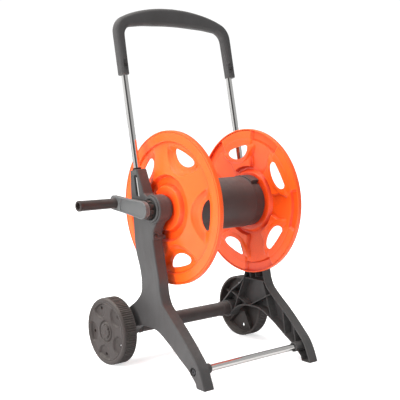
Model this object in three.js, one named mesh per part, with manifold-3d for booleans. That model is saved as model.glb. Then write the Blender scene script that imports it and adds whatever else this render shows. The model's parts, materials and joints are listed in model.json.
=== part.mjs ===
// Garden hose reel cart: two moulded side frames, a cranked hose reel, two wheels and a telescopic handle.
// Millimetres. X runs along the reel axle (crank at -X), the feet are at -Y, the wheels at +Y, +Z is up.
import * as THREE from 'three';
import { mergeVertices } from 'three/addons/utils/BufferGeometryUtils.js';
import Module from 'manifold-3d';

const wasm = await Module();
wasm.setup();

// ---------------------------------------------------------------- driving dimensions
const GAP = 0.3; // clearance between pieces that touch
const AXIS_Z = 402; // reel axis above the ground
const DISC_R = 190; // reel disc radius
const DISC_RIM_X = 134.5; // outer face of the disc rim
const DISC_WEB_X = 130; // outer face of the dished web next to the rim
const DISC_CROWN_X = 142; // outer face of the web where it meets the central recess
const DISC_FLOOR_X = 139; // outer face at the bottom of the central recess
const DISC_HUB_X = 145; // outer face of the hub plateau
const DISC_WALL = 3.2;
const HOLE_OUT_R = 147; // outer edge of the disc openings
const HOLE_IN_R = 114;
const HOLE_HALF = 38;
const HOLE_COUNT = 5;
const HOLE_PHASE = 93; // degrees from the top towards the feet
const DRUM_R = 66;
const DRUM_WALL = 4;
const DRUM_STEP_X = 100; // where the stepped end section of the drum begins
const SNAIL_LOW = 61.5; // radius at the end of the drum's snail
const SNAIL_HIGH = 70; // radius at its start, shrinking round to SNAIL_LOW
const SNAIL_START = THREE.MathUtils.degToRad(-38); // the slot, towards the feet from the top
const SHAFT_R = 17.3;
const SHAFT_END = 203;

const FRAME_OUT = 190; // outer face of a side frame at the ground
const FRAME_DEPTH = 30;
const FRAME_SPLAY = 0.008; // the frames come together by this much per unit of height
const FRAME_WALL = 3.6;
const HUB_R = 31.5;
const HUB_BORE_R = 25.3;
const HUB_OUT_X = 194;
const HUB_IN_X = 147;
const WHEEL_Y = 122;
const WHEEL_R = 85;
const WHEEL_IN_X = 207;
const WHEEL_OUT_X = 241;
const AXLE_R = 6;
const BOSS_R = 24; // rear axle boss on the frame
const CROSS_R = 19;
const BAR_Y = -160;
const BAR_Z = 37;
const BAR_R = 8.2;

const LEAN = THREE.MathUtils.degToRad(12.5); // rearward lean of the handle
const TUBE_X = 174;
const TUBE_R = 8;
const POST_Y = 80; // where the tube leaves the post
const POST_Z = 496;
const TUBE_LOW = -78; // lower end of the tube, measured along it from the post top
const TUBE_HIGH = 300;
const SLEEVE_LOW = 238;
const HANDLE_TOP = 419;
const HANDLE_DEPTH = 31;

const CRANK_R = 110;
const CRANK_TILT = THREE.MathUtils.degToRad(4.3);
const ARM_OUT = 221;
const ARM_IN = 207;
const GRIP_OUT = 328;
const LOCK_Y = 5;
const LOCK_Z = 332;

// ---------------------------------------------------------------- materials
const finish = (color, roughness, metalness = 0) => new THREE.MeshStandardMaterial({
  color,
  roughness,
  metalness,
});
const greyPlastic = () => finish(0x4a4645, 0.55);
const panelPlastic = () => finish(0x4c4948, 0.5);
const orangePlastic = () => finish(0xff5a14, 0.35);
const wheelPlastic = () => finish(0x423c3a, 0.65);
const blackPlastic = () => finish(0x1c1b1a, 0.6);
const chrome = () => finish(0xcfd0d0, 0.12, 1);
const zincSteel = () => finish(0x9a9c9e, 0.35, 1);

// ---------------------------------------------------------------- solids
function solid(source) {
  let g = source.clone();
  for (const name of Object.keys(g.attributes)) {
    if (name !== 'position') g.deleteAttribute(name);
  }
  g.morphAttributes = {};
  g = mergeVertices(g, 1e-4);
  const p = g.attributes.position;
  const index = [];
  let volume = 0;
  const a = new THREE.Vector3();
  const b = new THREE.Vector3();
  const c = new THREE.Vector3();
  for (let i = 0; i < g.index.count; i += 3) {
    const t = [g.index.getX(i), g.index.getX(i + 1), g.index.getX(i + 2)];
    if (t[0] === t[1] || t[1] === t[2] || t[2] === t[0]) continue;
    a.fromBufferAttribute(p, t[0]);
    b.fromBufferAttribute(p, t[1]);
    c.fromBufferAttribute(p, t[2]);
    volume += a.dot(b.cross(c));
    index.push(...t);
  }
  if (volume < 0) {
    for (let i = 0; i < index.length; i += 3) {
      [index[i + 1], index[i + 2]] = [index[i + 2], index[i + 1]];
    }
  }
  return new wasm.Manifold(new wasm.Mesh({
    numProp: 3,
    vertProperties: new Float32Array(p.array),
    triVerts: new Uint32Array(index),
  }));
}

function geometryOf(manifold) {
  const m = manifold.getMesh();
  const g = new THREE.BufferGeometry();
  g.setAttribute('position', new THREE.BufferAttribute(new Float32Array(m.vertProperties), 3));
  g.setIndex(new THREE.BufferAttribute(new Uint32Array(m.triVerts), 1));
  return g;
}

const cut = (base, ...tools) => tools.reduce((s, t) => s.subtract(t), base);
const join = (base, ...others) => others.reduce((s, t) => s.add(t), base);

// A shape drawn in (Y, Z) extruded from x0 to x1.
const toYZ = new THREE.Matrix4().makeBasis(
  new THREE.Vector3(0, 1, 0),
  new THREE.Vector3(0, 0, 1),
  new THREE.Vector3(1, 0, 0),
);
const axisToX = new THREE.Matrix4().makeBasis(
  new THREE.Vector3(0, 0, 1),
  new THREE.Vector3(1, 0, 0),
  new THREE.Vector3(0, 1, 0),
);
function prismX(points, x0, x1, bevel = 0) {
  const shape = new THREE.Shape(points.map(([y, z]) => new THREE.Vector2(y, z)));
  const g = new THREE.ExtrudeGeometry(shape, {
    depth: x1 - x0 - 2 * bevel,
    bevelEnabled: bevel > 0,
    bevelThickness: bevel,
    bevelSize: bevel,
    bevelOffset: -bevel,
    bevelSegments: 1,
    steps: 1,
  });
  g.translate(0, 0, x0 + bevel);
  g.applyMatrix4(toYZ);
  return g;
}

// A closed profile of [radius, x] pairs turned about the X direction through (y, z).
function turnX(profile, y, z, segments = 32) {
  const points = profile.map(([r, x]) => new THREE.Vector2(r, x));
  if (profile[0][0] > 0) points.push(points[0].clone());
  const g = new THREE.LatheGeometry(points, segments);
  g.applyMatrix4(axisToX);
  g.translate(0, y, z);
  return g;
}
const rodX = (r, x0, x1, y, z, n = 24) => turnX([[0, x0], [r, x0], [r, x1], [0, x1]], y, z, n);
const pipeX = (ro, ri, x0, x1, y, z, n = 32) => turnX([[ri, x0], [ro, x0], [ro, x1], [ri, x1]], y, z, n);

// The same about Z, for pieces in the handle's own frame.
function turnZ(profile, x = 0, y = 0, segments = 24) {
  const points = profile.map(([r, z]) => new THREE.Vector2(r, z));
  if (profile[0][0] > 0) points.push(points[0].clone());
  const g = new THREE.LatheGeometry(points, segments);
  g.rotateX(Math.PI / 2);
  g.translate(x, y, 0);
  return g;
}

function box(x0, x1, y0, y1, z0, z1) {
  const g = new THREE.BoxGeometry(x1 - x0, y1 - y0, z1 - z0);
  g.translate((x0 + x1) / 2, (y0 + y1) / 2, (z0 + z1) / 2);
  return g;
}

function arc(cy, cz, r, a0, a1, n) {
  const out = [];
  for (let i = 0; i <= n; i += 1) {
    const a = THREE.MathUtils.degToRad(a0 + ((a1 - a0) * i) / n);
    out.push([cy + r * Math.cos(a), cz + r * Math.sin(a)]);
  }
  return out;
}

// Moves every edge of a counter-clockwise outline inwards by d.
function inset(points, d) {
  const n = points.length;
  const out = [];
  for (let i = 0; i < n; i += 1) {
    const [px, py] = points[(i + n - 1) % n];
    const [qx, qy] = points[i];
    const [sx, sy] = points[(i + 1) % n];
    const u = [qx - px, qy - py];
    const v = [sx - qx, sy - qy];
    const lu = Math.hypot(...u);
    const lv = Math.hypot(...v);
    const n1 = [-u[1] / lu, u[0] / lu];
    const n2 = [-v[1] / lv, v[0] / lv];
    const k = d / (1 + n1[0] * n2[0] + n1[1] * n2[1]);
    out.push([qx + (n1[0] + n2[0]) * k, qy + (n1[1] + n2[1]) * k]);
  }
  return out;
}

// Leans a geometry made in the handle's frame (Z along the tube) into place.
function leanIn(g) {
  g.rotateX(-LEAN);
  g.translate(0, POST_Y, POST_Z);
  return g;
}

function mirrored(g) {
  const m = g.clone();
  m.applyMatrix4(new THREE.Matrix4().makeScale(-1, 1, 1));
  const index = m.index.array;
  for (let i = 0; i < index.length; i += 3) {
    [index[i + 1], index[i + 2]] = [index[i + 2], index[i + 1]];
  }
  return m;
}

const cart = new THREE.Group();
function add(name, source, material) {
  const manifold = source instanceof THREE.BufferGeometry ? solid(source) : source;
  const mesh = new THREE.Mesh(geometryOf(manifold), material);
  mesh.name = name;
  cart.add(mesh);
  return mesh;
}
function addPair(stem, manifold, material) {
  const left = add(`left_${stem}`, manifold, material());
  const right = new THREE.Mesh(mirrored(left.geometry), material());
  right.name = `right_${stem}`;
  cart.add(right);
}

// ---------------------------------------------------------------- side frames
// Outline in (Y, Z), counter-clockwise from +X: foot, arch, rear leg, boss, back of the post, top, front.
const outline = [
  [-202, 0], [-172, 0], [-168, 12], [-142, 35], [-114, 52], [-61, 85], [-19, 105], [25, 108], [68, 100],
  [92, 84],
  ...arc(WHEEL_Y, 85, BOSS_R, 212, 410, 7),
  [97, 146], [62, 172], [47, 192], [45, 214], [50, 242], [71, 298], [80, 368], [90, 428], [93, 491],
  [66, 497], [37, 438],
  ...arc(0, AXIS_Z, 35.5, 52, 250, 7),
  [-1, 345], [-8, 301], [-25, 235], [-34, 190], [-42, 174], [-60, 157], [-104, 122], [-146, 84], [-180, 48],
  [-195, 18],
];
const splay = (g, side) => {
  const p = g.attributes.position;
  for (let i = 0; i < p.count; i += 1) p.setX(i, p.getX(i) - side * FRAME_SPLAY * p.getZ(i));
  return g;
};

// Straight rib between two (Y, Z) points.
function rib(y0, z0, y1, z1, thickness, x0, x1) {
  const length = Math.hypot(y1 - y0, z1 - z0);
  const g = new THREE.BoxGeometry(x1 - x0, length, thickness);
  g.rotateX(Math.atan2(z1 - z0, y1 - y0));
  g.translate((x0 + x1) / 2, (y0 + y1) / 2, (z0 + z1) / 2);
  return g;
}

// Built as the left frame; lock adds the boss of the lock button.
function sideFrame(lock) {
  const xo = -FRAME_OUT;
  const xi = xo + FRAME_DEPTH;
  const inner = inset(outline, FRAME_WALL);
  const shell = solid(splay(prismX(outline, xo, xi), -1));
  const pocket = solid(splay(prismX(inner, xo + FRAME_WALL, xi + 6), -1));
  const room = solid(splay(prismX(inset(outline, FRAME_WALL / 2), xo + FRAME_WALL / 2, xi + 6), -1));
  const fill = (g) => solid(g).intersect(room);
  const ribTop = xi - 2;
  const ribs = [
    rib(92, 84, 48, 184, 3, xo + 1, ribTop),
    rib(40, 110, 108, 140, 3, xo + 1, ribTop),
    rib(-42, 184, 54, 184, 3, xo + 1, ribTop),
    rib(-60, 80, -22, 184, 3, xo + 1, ribTop),
    rib(-62, 160, 30, 100, 3, xo + 1, ribTop),
    rib(-110, 50, -100, 125, 3, xo + 1, ribTop),
    rib(-150, 30, -140, 92, 3, xo + 1, ribTop),
    rib(0, AXIS_Z, 80, AXIS_Z, 3, xo + 1, ribTop),
  ];
  const tubeRun = solid(leanIn(box(-187, -150, -10.2, 10.2, -318, -2)));
  const tubeRibs = [-11.6, 11.6].map((n) => fill(leanIn(box(xo + 1, ribTop, n - 1.3, n + 1.3, -316, -2))));
  let f = shell.subtract(pocket);
  for (const r of ribs) f = f.add(fill(r).subtract(tubeRun));
  for (const r of tubeRibs) f = f.add(r);
  // Solid bosses at the hub, the axle, the front bar and the post top.
  f = join(
    f,
    solid(rodX(HUB_R, -HUB_OUT_X, -HUB_IN_X, 0, AXIS_Z, 28)),
    solid(rodX(BOSS_R, xo + 1, xi, WHEEL_Y, 85, 20)),
    solid(rodX(12.2, xo + 1, -140, BAR_Y, BAR_Z, 20)),
    fill(leanIn(box(-189, -150, -14, 14, -16, -1))),
  );
  f = cut(
    f,
    solid(rodX(HUB_BORE_R, -HUB_OUT_X - 4, -HUB_IN_X + 4, 0, AXIS_Z, 28)),
    solid(rodX(AXLE_R + GAP, xo - 4, xi + 4, WHEEL_Y, 85, 16)),
    solid(rodX(CROSS_R + GAP, xi - 8, xi + 4, WHEEL_Y, 85, 24)),
    solid(rodX(BAR_R + GAP, -176, -136, BAR_Y, BAR_Z, 20)),
    solid(rodX(10.5, xo - 4, xo + 6, BAR_Y, BAR_Z, 20)),
    solid(rodX(3.4, xo - 4, -150, BAR_Y, BAR_Z, 12)),
    solid(leanIn(turnZ([[0, -24], [10.9, -24], [10.9, 8], [0, 8]], -TUBE_X, 0, 20))),
    slotCutter(),
  );
  if (lock) {
    f = f.add(fill(rodX(7.5, xo + 1, -158, LOCK_Y, LOCK_Z, 20)));
    f = f.add(fill(rib(-6, LOCK_Z, 30, LOCK_Z, 3, xo + 1, ribTop)).subtract(tubeRun));
    const pilot = turnZ([[0, -12], [2.3, -12], [2.3, 4], [0, 4]], 0, 0, 10);
    pilot.rotateX(Math.PI / 2);
    pilot.translate(-178, -3, LOCK_Z + 4);
    f = cut(
      f,
      solid(rodX(4.3, -173, -150, LOCK_Y, LOCK_Z, 16)),
      solid(rodX(7, -161, -150, LOCK_Y, LOCK_Z, 20)),
      solid(pilot),
      solid(seatRing(-178, LOCK_Z + 4)),
    );
  }
  return f;
}

// Shallow round seat of the lock screw in the front edge of the leg.
function seatRing(x, z) {
  const g = turnZ([[0, 0], [7.5, 0], [7.5, 8], [0, 8]], 0, 0, 20);
  g.rotateX(Math.PI / 2);
  g.translate(x, -1.4, z);
  return g;
}

// Long round-ended slot through the outer wall beside the tube.
function slotCutter() {
  const half = 7;
  const points = [
    ...arc(0, 21, half, 0, 180, 6),
    ...arc(0, -21, half, 180, 360, 6),
  ];
  const g = prismX(points, -196, -182);
  g.rotateX(-LEAN);
  g.translate(0, 64.5, 455);
  return solid(g);
}

add('left_side_frame', sideFrame(true), greyPlastic());
const rightFrame = add('right_side_frame', sideFrame(false), greyPlastic());
rightFrame.geometry = mirrored(rightFrame.geometry);

// ---------------------------------------------------------------- cross members
add('rear_cross_tube', pipeX(CROSS_R, 15.5, -167.5, 167.5, WHEEL_Y, 85, 24), greyPlastic());
add('wheel_axle', rodX(AXLE_R, -238, 238, WHEEL_Y, 85, 20), zincSteel());
add('front_bar', pipeX(BAR_R, 6.6, -175, 175, BAR_Y, BAR_Z, 20), chrome());
addPair(
  'bar_plug',
  solid(pipeX(6.6 - GAP, 2.9, -175, -157, BAR_Y, BAR_Z, 12)),
  blackPlastic,
);
addPair(
  'bar_screw',
  solid(turnX([[0, -188.6], [4, -188.6], [6.6, -186.8], [6.6, -184.3], [2.6, -184.3], [2.6, -160], [0, -160]],
    BAR_Y, BAR_Z, 12)),
  zincSteel,
);
addPair(
  'hub_bush',
  solid(pipeX(HUB_BORE_R - GAP, SHAFT_R + GAP, -177, -146, 0, AXIS_Z, 28)),
  blackPlastic,
);
addPair(
  'tube_guide',
  solid(leanIn(turnZ([[TUBE_R + GAP, -22], [10.6, -22], [10.6, 0.5], [11.8, 0.5], [11.8, 2], [TUBE_R + GAP, 2]],
    -TUBE_X, 0, 20))),
  blackPlastic,
);
addPair(
  'wheel_washer',
  solid(pipeX(13, AXLE_R + GAP, -193, -190.4, WHEEL_Y, 85, 16)),
  zincSteel,
);

// Lock button under the left hub and the screw beside it.
add(
  'reel_lock_button',
  turnX([[0, -172], [4, -172], [4, -160.3], [6, -160.3], [6, -147], [4.8, -146], [0, -146]],
    LOCK_Y, LOCK_Z, 20),
  greyPlastic(),
);
const screw = turnZ([[0, -9], [2, -9], [2, 0.3], [5, 0.3], [5, 1.7], [3.6, 2.6], [0, 2.6]], 0, 0, 16);
screw.rotateX(Math.PI / 2);
screw.translate(-178, -1.4, LOCK_Z + 4);
add('lock_screw', screw, zincSteel());

// Water inlet on the right: a swivel body in the hub with a tap connector that points down.
const inlet = join(
  solid(rodX(HUB_BORE_R - GAP, 178, 196.5, 0, AXIS_Z, 32)),
  solid(rodX(13, 196, 216, 0, AXIS_Z, 20)),
  solid(turnZ([[0, -46], [8, -46], [8, -30], [11, -28], [11, -12], [13, -10], [13, 10], [10, 13], [0, 13]],
    0, 0, 16).translate(216, 0, AXIS_Z)),
);
add(
  'water_inlet',
  cut(
    inlet,
    solid(turnZ([[0, -50], [5.5, -50], [5.5, 0], [0, 0]], 0, 0, 14).translate(216, 0, AXIS_Z)),
    solid(rodX(SHAFT_R - 2, 174, 190, 0, AXIS_Z, 24)),
    solid(rodX(5.5, 188, 216, 0, AXIS_Z, 14)),
  ),
  blackPlastic(),
);
add(
  'inlet_nut',
  turnZ([[11.4, -27.5], [16, -27.5], [16, -14], [11.4, -14]], 216, 0, 12)
    .translate(0, 0, AXIS_Z),
  orangePlastic(),
);

// ---------------------------------------------------------------- reel
// D-shaped opening: an arc along the rim side and a rounded side towards the hub.
function discOpening(k) {
  const points = [];
  const steps = 6;
  const span = Math.asin(HOLE_HALF / HOLE_OUT_R);
  for (let i = 0; i <= 2; i += 1) {
    const a = span - span * i;
    points.push([HOLE_OUT_R * Math.sin(a), HOLE_OUT_R * Math.cos(a)]);
  }
  const top = HOLE_OUT_R * Math.cos(span) - 5;
  for (let i = 0; i <= steps; i += 1) {
    const a = Math.PI + (Math.PI * i) / steps;
    points.push([HOLE_HALF * Math.cos(a), top + (top - HOLE_IN_R) * Math.sin(a)]);
  }
  const g = prismX(points, -150, -100);
  g.rotateX(THREE.MathUtils.degToRad(HOLE_PHASE + (360 / HOLE_COUNT) * k));
  g.translate(0, 0, AXIS_Z);
  return solid(g);
}

const t = DISC_WALL;
const discProfile = [
  [SHAFT_R + GAP, -DISC_HUB_X], [55, -DISC_HUB_X], [60, -DISC_FLOOR_X], [77, -DISC_FLOOR_X],
  [84, -DISC_CROWN_X], [160, -DISC_WEB_X], [164, -DISC_RIM_X], [DISC_R, -DISC_RIM_X], [DISC_R, -122],
  [DISC_R - t, -122], [DISC_R - t, -DISC_RIM_X + t], [165.5, -DISC_RIM_X + t], [161.5, -DISC_WEB_X + t],
  [84, -DISC_CROWN_X + t], [77, -DISC_FLOOR_X + t], [58, -DISC_FLOOR_X + t], [53, -DISC_HUB_X + t],
  [24, -DISC_HUB_X + t], [24, -128], [SHAFT_R + GAP, -128],
];
let disc = solid(turnX(discProfile, 0, AXIS_Z, 40));
for (let k = 0; k < HOLE_COUNT; k += 1) disc = disc.subtract(discOpening(k));
add('left_reel_disc', disc, orangePlastic());
// The right disc is the mirror image, turned by half the spacing of the openings.
const rightDisc = add('right_reel_disc', disc, orangePlastic());
rightDisc.geometry = mirrored(rightDisc.geometry)
  .translate(0, 0, -AXIS_Z)
  .rotateX(Math.PI / HOLE_COUNT)
  .translate(0, 0, AXIS_Z);

const drumEnd = DISC_FLOOR_X - t - GAP;
let drum = solid(pipeX(DRUM_R, DRUM_R - DRUM_WALL, -drumEnd, DRUM_STEP_X, 0, AXIS_Z, 32));
add('drum_core', drum, greyPlastic());
// End ring: a spigot inside the drum and a snail whose radius shrinks round from the hose slot.
const snail = [];
const SNAIL_STEPS = 26;
for (let i = 0; i <= SNAIL_STEPS; i += 1) {
  const a = (2 * Math.PI * i) / SNAIL_STEPS;
  const r = SNAIL_HIGH - ((SNAIL_HIGH - SNAIL_LOW) * i) / SNAIL_STEPS;
  snail.push([r * Math.sin(a + SNAIL_START), AXIS_Z + r * Math.cos(a + SNAIL_START)]);
}
let endRing = join(
  solid(pipeX(DRUM_R - DRUM_WALL - GAP, 56, DRUM_STEP_X - 14, DRUM_STEP_X + 4, 0, AXIS_Z, 32)),
  solid(prismX(snail.reverse(), DRUM_STEP_X + GAP, drumEnd)),
);
const slotAt = SNAIL_START + 0.12;
const hoseSlot = solid(
  box(DRUM_STEP_X + 6, drumEnd + 1, -14, 14, 30, 90).rotateX(-slotAt).translate(0, 0, AXIS_Z),
);
endRing = cut(
  endRing,
  solid(rodX(56, DRUM_STEP_X - 20, drumEnd + 5, 0, AXIS_Z, 32)),
  hoseSlot,
);
add('drum_end_ring', endRing, greyPlastic());

// Hollow shaft, closed at the crank end.
add(
  'reel_shaft',
  turnX([
    [0, -SHAFT_END], [SHAFT_R, -SHAFT_END], [SHAFT_R, 177.5], [13.5, 177.5], [13.5, -SHAFT_END + 6],
    [0, -SHAFT_END + 6],
  ], 0, AXIS_Z, 32),
  blackPlastic(),
);
add(
  'water_outlet',
  turnZ([[0, SHAFT_R + GAP], [8, SHAFT_R + GAP], [8, 38], [10.5, 40], [10.5, 49], [8, 50], [8, 57], [0, 57]],
    0, 0, 16).rotateX(-slotAt).translate(117, 0, AXIS_Z),
  blackPlastic(),
);

// ---------------------------------------------------------------- crank
const rotateAboutAxis = (g, angle) => g
  .translate(0, 0, -AXIS_Z)
  .rotateX(angle)
  .translate(0, 0, AXIS_Z);
const armOutline = [
  ...arc(0, AXIS_Z, 21.5, 90, 270, 10),
  [70, AXIS_Z - 18.5], [126, AXIS_Z - 18], [131, AXIS_Z - 13], [131, AXIS_Z + 13], [126, AXIS_Z + 18],
  [70, AXIS_Z + 18.5],
];
const panelOutline = inset([
  ...arc(0, AXIS_Z, 21.5, 90, 270, 10), [70, AXIS_Z - 18.5], [88, AXIS_Z - 18.2], [88, AXIS_Z + 18.2],
  [70, AXIS_Z + 18.5],
], 4);
const gripY = CRANK_R;
let arm = solid(rotateAboutAxis(prismX(armOutline, -ARM_OUT, -ARM_IN, 1.6), CRANK_TILT));
arm = cut(
  arm,
  solid(rotateAboutAxis(prismX(panelOutline, -ARM_OUT - 3, -ARM_OUT + 1.2), CRANK_TILT)),
  solid(rotateAboutAxis(rodX(4 + GAP, -ARM_OUT - 3, -ARM_IN + 3, gripY, AXIS_Z, 16), CRANK_TILT)),
);
add('crank_arm', arm, panelPlastic());

const CRANK_HUB_R = 23.5;
let crankHub = solid(pipeX(CRANK_HUB_R, SHAFT_R + GAP, -ARM_IN + GAP, -178, 0, AXIS_Z, 27));
const NOTCHES = 9;
for (let k = 0; k < NOTCHES; k += 1) {
  const notch = box(-ARM_IN - 1, -197, -3.2, 3.2, 20.5, 30);
  notch.rotateX((2 * Math.PI * k) / NOTCHES);
  notch.translate(0, 0, AXIS_Z);
  crankHub = crankHub.subtract(solid(notch));
}
add('crank_hub', crankHub, blackPlastic());
add(
  'grip_pin',
  rotateAboutAxis(turnX([
    [0, -314], [6.8, -314], [6.8, -311], [4, -311], [4, -ARM_IN - 0.5], [0, -ARM_IN - 0.5],
  ], gripY, AXIS_Z, 16), CRANK_TILT),
  zincSteel(),
);
add(
  'crank_grip',
  rotateAboutAxis(turnX([
    [4 + GAP, -ARM_OUT - 0.4], [13.2, -ARM_OUT - 0.4], [13.2, -ARM_OUT - 6], [12.4, -ARM_OUT - 8],
    [12.8, -GRIP_OUT + 10], [13.4, -GRIP_OUT + 8], [13.4, -GRIP_OUT + 1.5], [12, -GRIP_OUT], [9, -GRIP_OUT],
    [9, -310.7], [4 + GAP, -310.7],
  ], gripY, AXIS_Z, 20), CRANK_TILT),
  blackPlastic(),
);

// ---------------------------------------------------------------- wheels
const wheelProfile = [
  [AXLE_R + GAP, -193.4], [18, -193.4], [18, -WHEEL_OUT_X + 9], [79, -WHEEL_OUT_X + 9],
  [79, -WHEEL_IN_X], [WHEEL_R, -WHEEL_IN_X], [WHEEL_R, -WHEEL_OUT_X + 4],
  [82, -WHEEL_OUT_X], [77, -WHEEL_OUT_X], [72, -WHEEL_OUT_X + 5.5], [25, -WHEEL_OUT_X + 5.5],
  [23, -WHEEL_OUT_X + 1], [AXLE_R + GAP, -WHEEL_OUT_X + 1],
];
let wheel = solid(turnX(wheelProfile, WHEEL_Y, 85, 36));
const WHEEL_HOLE_R = 8.5;
const WHEEL_HOLE_PITCH = 61;
for (let k = 0; k < 5; k += 1) {
  const a = THREE.MathUtils.degToRad(47 + 72 * k);
  const y = WHEEL_Y - WHEEL_HOLE_PITCH * Math.sin(a);
  const z = 85 + WHEEL_HOLE_PITCH * Math.cos(a);
  wheel = wheel.subtract(solid(rodX(WHEEL_HOLE_R, -250, -220, y, z, 8)));
}
addPair('wheel', wheel, wheelPlastic);
addPair(
  'hub_cap',
  solid(turnX([[0, -WHEEL_OUT_X - 3.4], [15, -WHEEL_OUT_X - 3.4], [18.5, -WHEEL_OUT_X - 1.5],
    [18.5, -WHEEL_OUT_X + 0.7], [0, -WHEEL_OUT_X + 0.7]], WHEEL_Y, 85, 20)),
  wheelPlastic,
);

// ---------------------------------------------------------------- handle
// Front outline of the U-shaped grip in (X, along the tube), crowned on top.
const outerHalf = [
  [192.5, SLEEVE_LOW], [192.5, 340], ...arc(146, 346, 46.5, 8, 74, 5), [90, 410.5], [45, 417],
];
const innerHalf = [[158, SLEEVE_LOW], [157, 330], ...arc(128, 336, 29, 6, 84, 4), [70, 370], [30, 372]];
const flip = (list) => list.map(([x, s]) => [-x, s]).reverse();
const gripOutline = [
  ...outerHalf, [0, HANDLE_TOP], ...flip(outerHalf),
  ...innerHalf.map(([x, s]) => [-x, s]), [0, 372.5], ...[...innerHalf].reverse(),
];
const gripShape = new THREE.Shape(gripOutline.map(([x, s]) => new THREE.Vector2(x, s)));
const gripBevel = 6;
const gripGeometry = new THREE.ExtrudeGeometry(gripShape, {
  depth: HANDLE_DEPTH - 2 * gripBevel,
  bevelEnabled: true,
  bevelThickness: gripBevel,
  bevelSize: gripBevel,
  bevelOffset: -gripBevel,
  bevelSegments: 1,
  steps: 1,
});
gripGeometry.translate(0, 0, -HANDLE_DEPTH / 2 + gripBevel);
gripGeometry.rotateX(Math.PI / 2);
let grip = solid(gripGeometry);
const BUTTON_S = 263;
for (const side of [-1, 1]) {
  const seat = new THREE.Shape([
    ...arc(0, 7, 7.5, 0, 180, 8),
    ...arc(0, -7, 7.5, 180, 360, 8),
  ].map(([x, s]) => new THREE.Vector2(x, s)));
  const recess = new THREE.ExtrudeGeometry(seat, { depth: 6, bevelEnabled: false });
  recess.rotateX(Math.PI / 2);
  recess.translate(side * TUBE_X, -HANDLE_DEPTH / 2 + 2.6, BUTTON_S);
  const port = turnZ([[0, 0], [4.6, 0], [4.6, 14], [0, 14]], 0, 0, 16);
  port.rotateX(Math.PI / 2);
  port.translate(side * TUBE_X, -2, BUTTON_S);
  grip = cut(
    grip,
    solid(turnZ([[0, SLEEVE_LOW - 5], [TUBE_R + GAP, SLEEVE_LOW - 5], [TUBE_R + GAP, TUBE_HIGH + 2],
      [0, TUBE_HIGH + 2]], side * TUBE_X, 0, 20)),
    solid(recess),
    solid(port),
  );
}
const handleGeometry = leanIn(geometryOf(grip));
const handleMesh = new THREE.Mesh(handleGeometry, greyPlastic());
handleMesh.name = 'handle_grip';
cart.add(handleMesh);
addPair(
  'handle_tube',
  solid(leanIn(turnZ([
    [6.8, TUBE_LOW], [TUBE_R, TUBE_LOW], [TUBE_R, TUBE_HIGH], [6.8, TUBE_HIGH],
  ], -TUBE_X, 0, 20))),
  chrome,
);
addPair(
  'tube_foot',
  solid(leanIn(turnZ([[0, TUBE_LOW - 7], [7, TUBE_LOW - 7], [8.6, TUBE_LOW - 5], [8.6, TUBE_LOW - GAP],
    [6.5, TUBE_LOW - GAP], [6.5, TUBE_LOW + 14], [0, TUBE_LOW + 14]], -TUBE_X, 0, 14))),
  blackPlastic,
);
const buttonProfile = [[0, 0], [4.2, 0], [4.2, 5.6], [3.2, 6.8], [0, 6.8]];
const button = turnZ(buttonProfile, 0, 0, 16);
button.rotateX(Math.PI / 2);
button.translate(-TUBE_X, -10.2, BUTTON_S);
addPair('snap_button', solid(leanIn(button)), blackPlastic);

// ---------------------------------------------------------------- origin
// The origin is under the middle of the whole cart, on the ground.
const bounds = new THREE.Box3().setFromObject(cart);
const middle = bounds.getCenter(new THREE.Vector3());
for (const mesh of cart.children) mesh.geometry.translate(-middle.x, -middle.y, -bounds.min.z);

export default cart;
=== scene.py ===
"""Garden hose reel cart: the visual model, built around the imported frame.

Sizes are in millimetres from the reel's axle line: X along the axle away from the crank, Y towards the
wheels and Z up from the ground. `Layout` reads from the frame where that axle line stands.
"""

import json
import logging
import math
from dataclasses import dataclass, field
from enum import Enum
from typing import Callable, Sequence

import bmesh
import bpy
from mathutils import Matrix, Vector
from mathutils.geometry import tessellate_polygon


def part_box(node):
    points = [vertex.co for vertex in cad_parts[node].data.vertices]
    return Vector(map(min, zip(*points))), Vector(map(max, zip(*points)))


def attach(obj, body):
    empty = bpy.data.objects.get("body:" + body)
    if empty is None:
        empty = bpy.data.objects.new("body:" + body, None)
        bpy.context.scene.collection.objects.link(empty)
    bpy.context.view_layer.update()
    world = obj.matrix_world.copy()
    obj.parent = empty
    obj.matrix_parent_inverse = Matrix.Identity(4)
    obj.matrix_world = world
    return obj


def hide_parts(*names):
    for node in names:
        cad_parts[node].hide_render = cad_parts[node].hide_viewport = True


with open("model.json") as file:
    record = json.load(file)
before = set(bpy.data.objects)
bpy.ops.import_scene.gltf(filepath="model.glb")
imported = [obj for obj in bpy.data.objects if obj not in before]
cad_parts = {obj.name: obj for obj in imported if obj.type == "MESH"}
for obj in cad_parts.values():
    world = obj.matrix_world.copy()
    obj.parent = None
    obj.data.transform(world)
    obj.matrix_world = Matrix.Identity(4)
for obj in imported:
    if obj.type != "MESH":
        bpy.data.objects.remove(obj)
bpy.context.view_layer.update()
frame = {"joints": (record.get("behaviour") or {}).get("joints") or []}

MM = 0.001
FULL_TURN = 2 * math.pi
SHARP_ANGLE = math.radians(38)  # edges that turn more than this stay crisp
TINY = 1e-6  # lengths below this count as nothing
SIDE_STEP = 2.6  # spacing of a web's grid lines along the radius
SPREAD = 1.15  # above 1 it crowds a web's rings towards its openings
SENSOR_WIDTH = 36.0
POST_TOP_Y = 80.0  # where the handle tubes' middle line leaves the posts
POST_TOP_Z = 496.0
TUBE_X = 174.0  # the tubes' distance from the middle
Flat = tuple[float, float]
Spot = tuple[float, float, float]
Ring = list[int]
Place = Callable[[float, float, float], Spot]
Socket = bpy.types.NodeSocket
Tree = bpy.types.NodeTree
log = logging.getLogger("hose_cart")


# ---------------- layout
class Side(Enum):
    """The two sides of the cart; the value is the sign of X."""

    LEFT = -1
    RIGHT = 1


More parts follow.
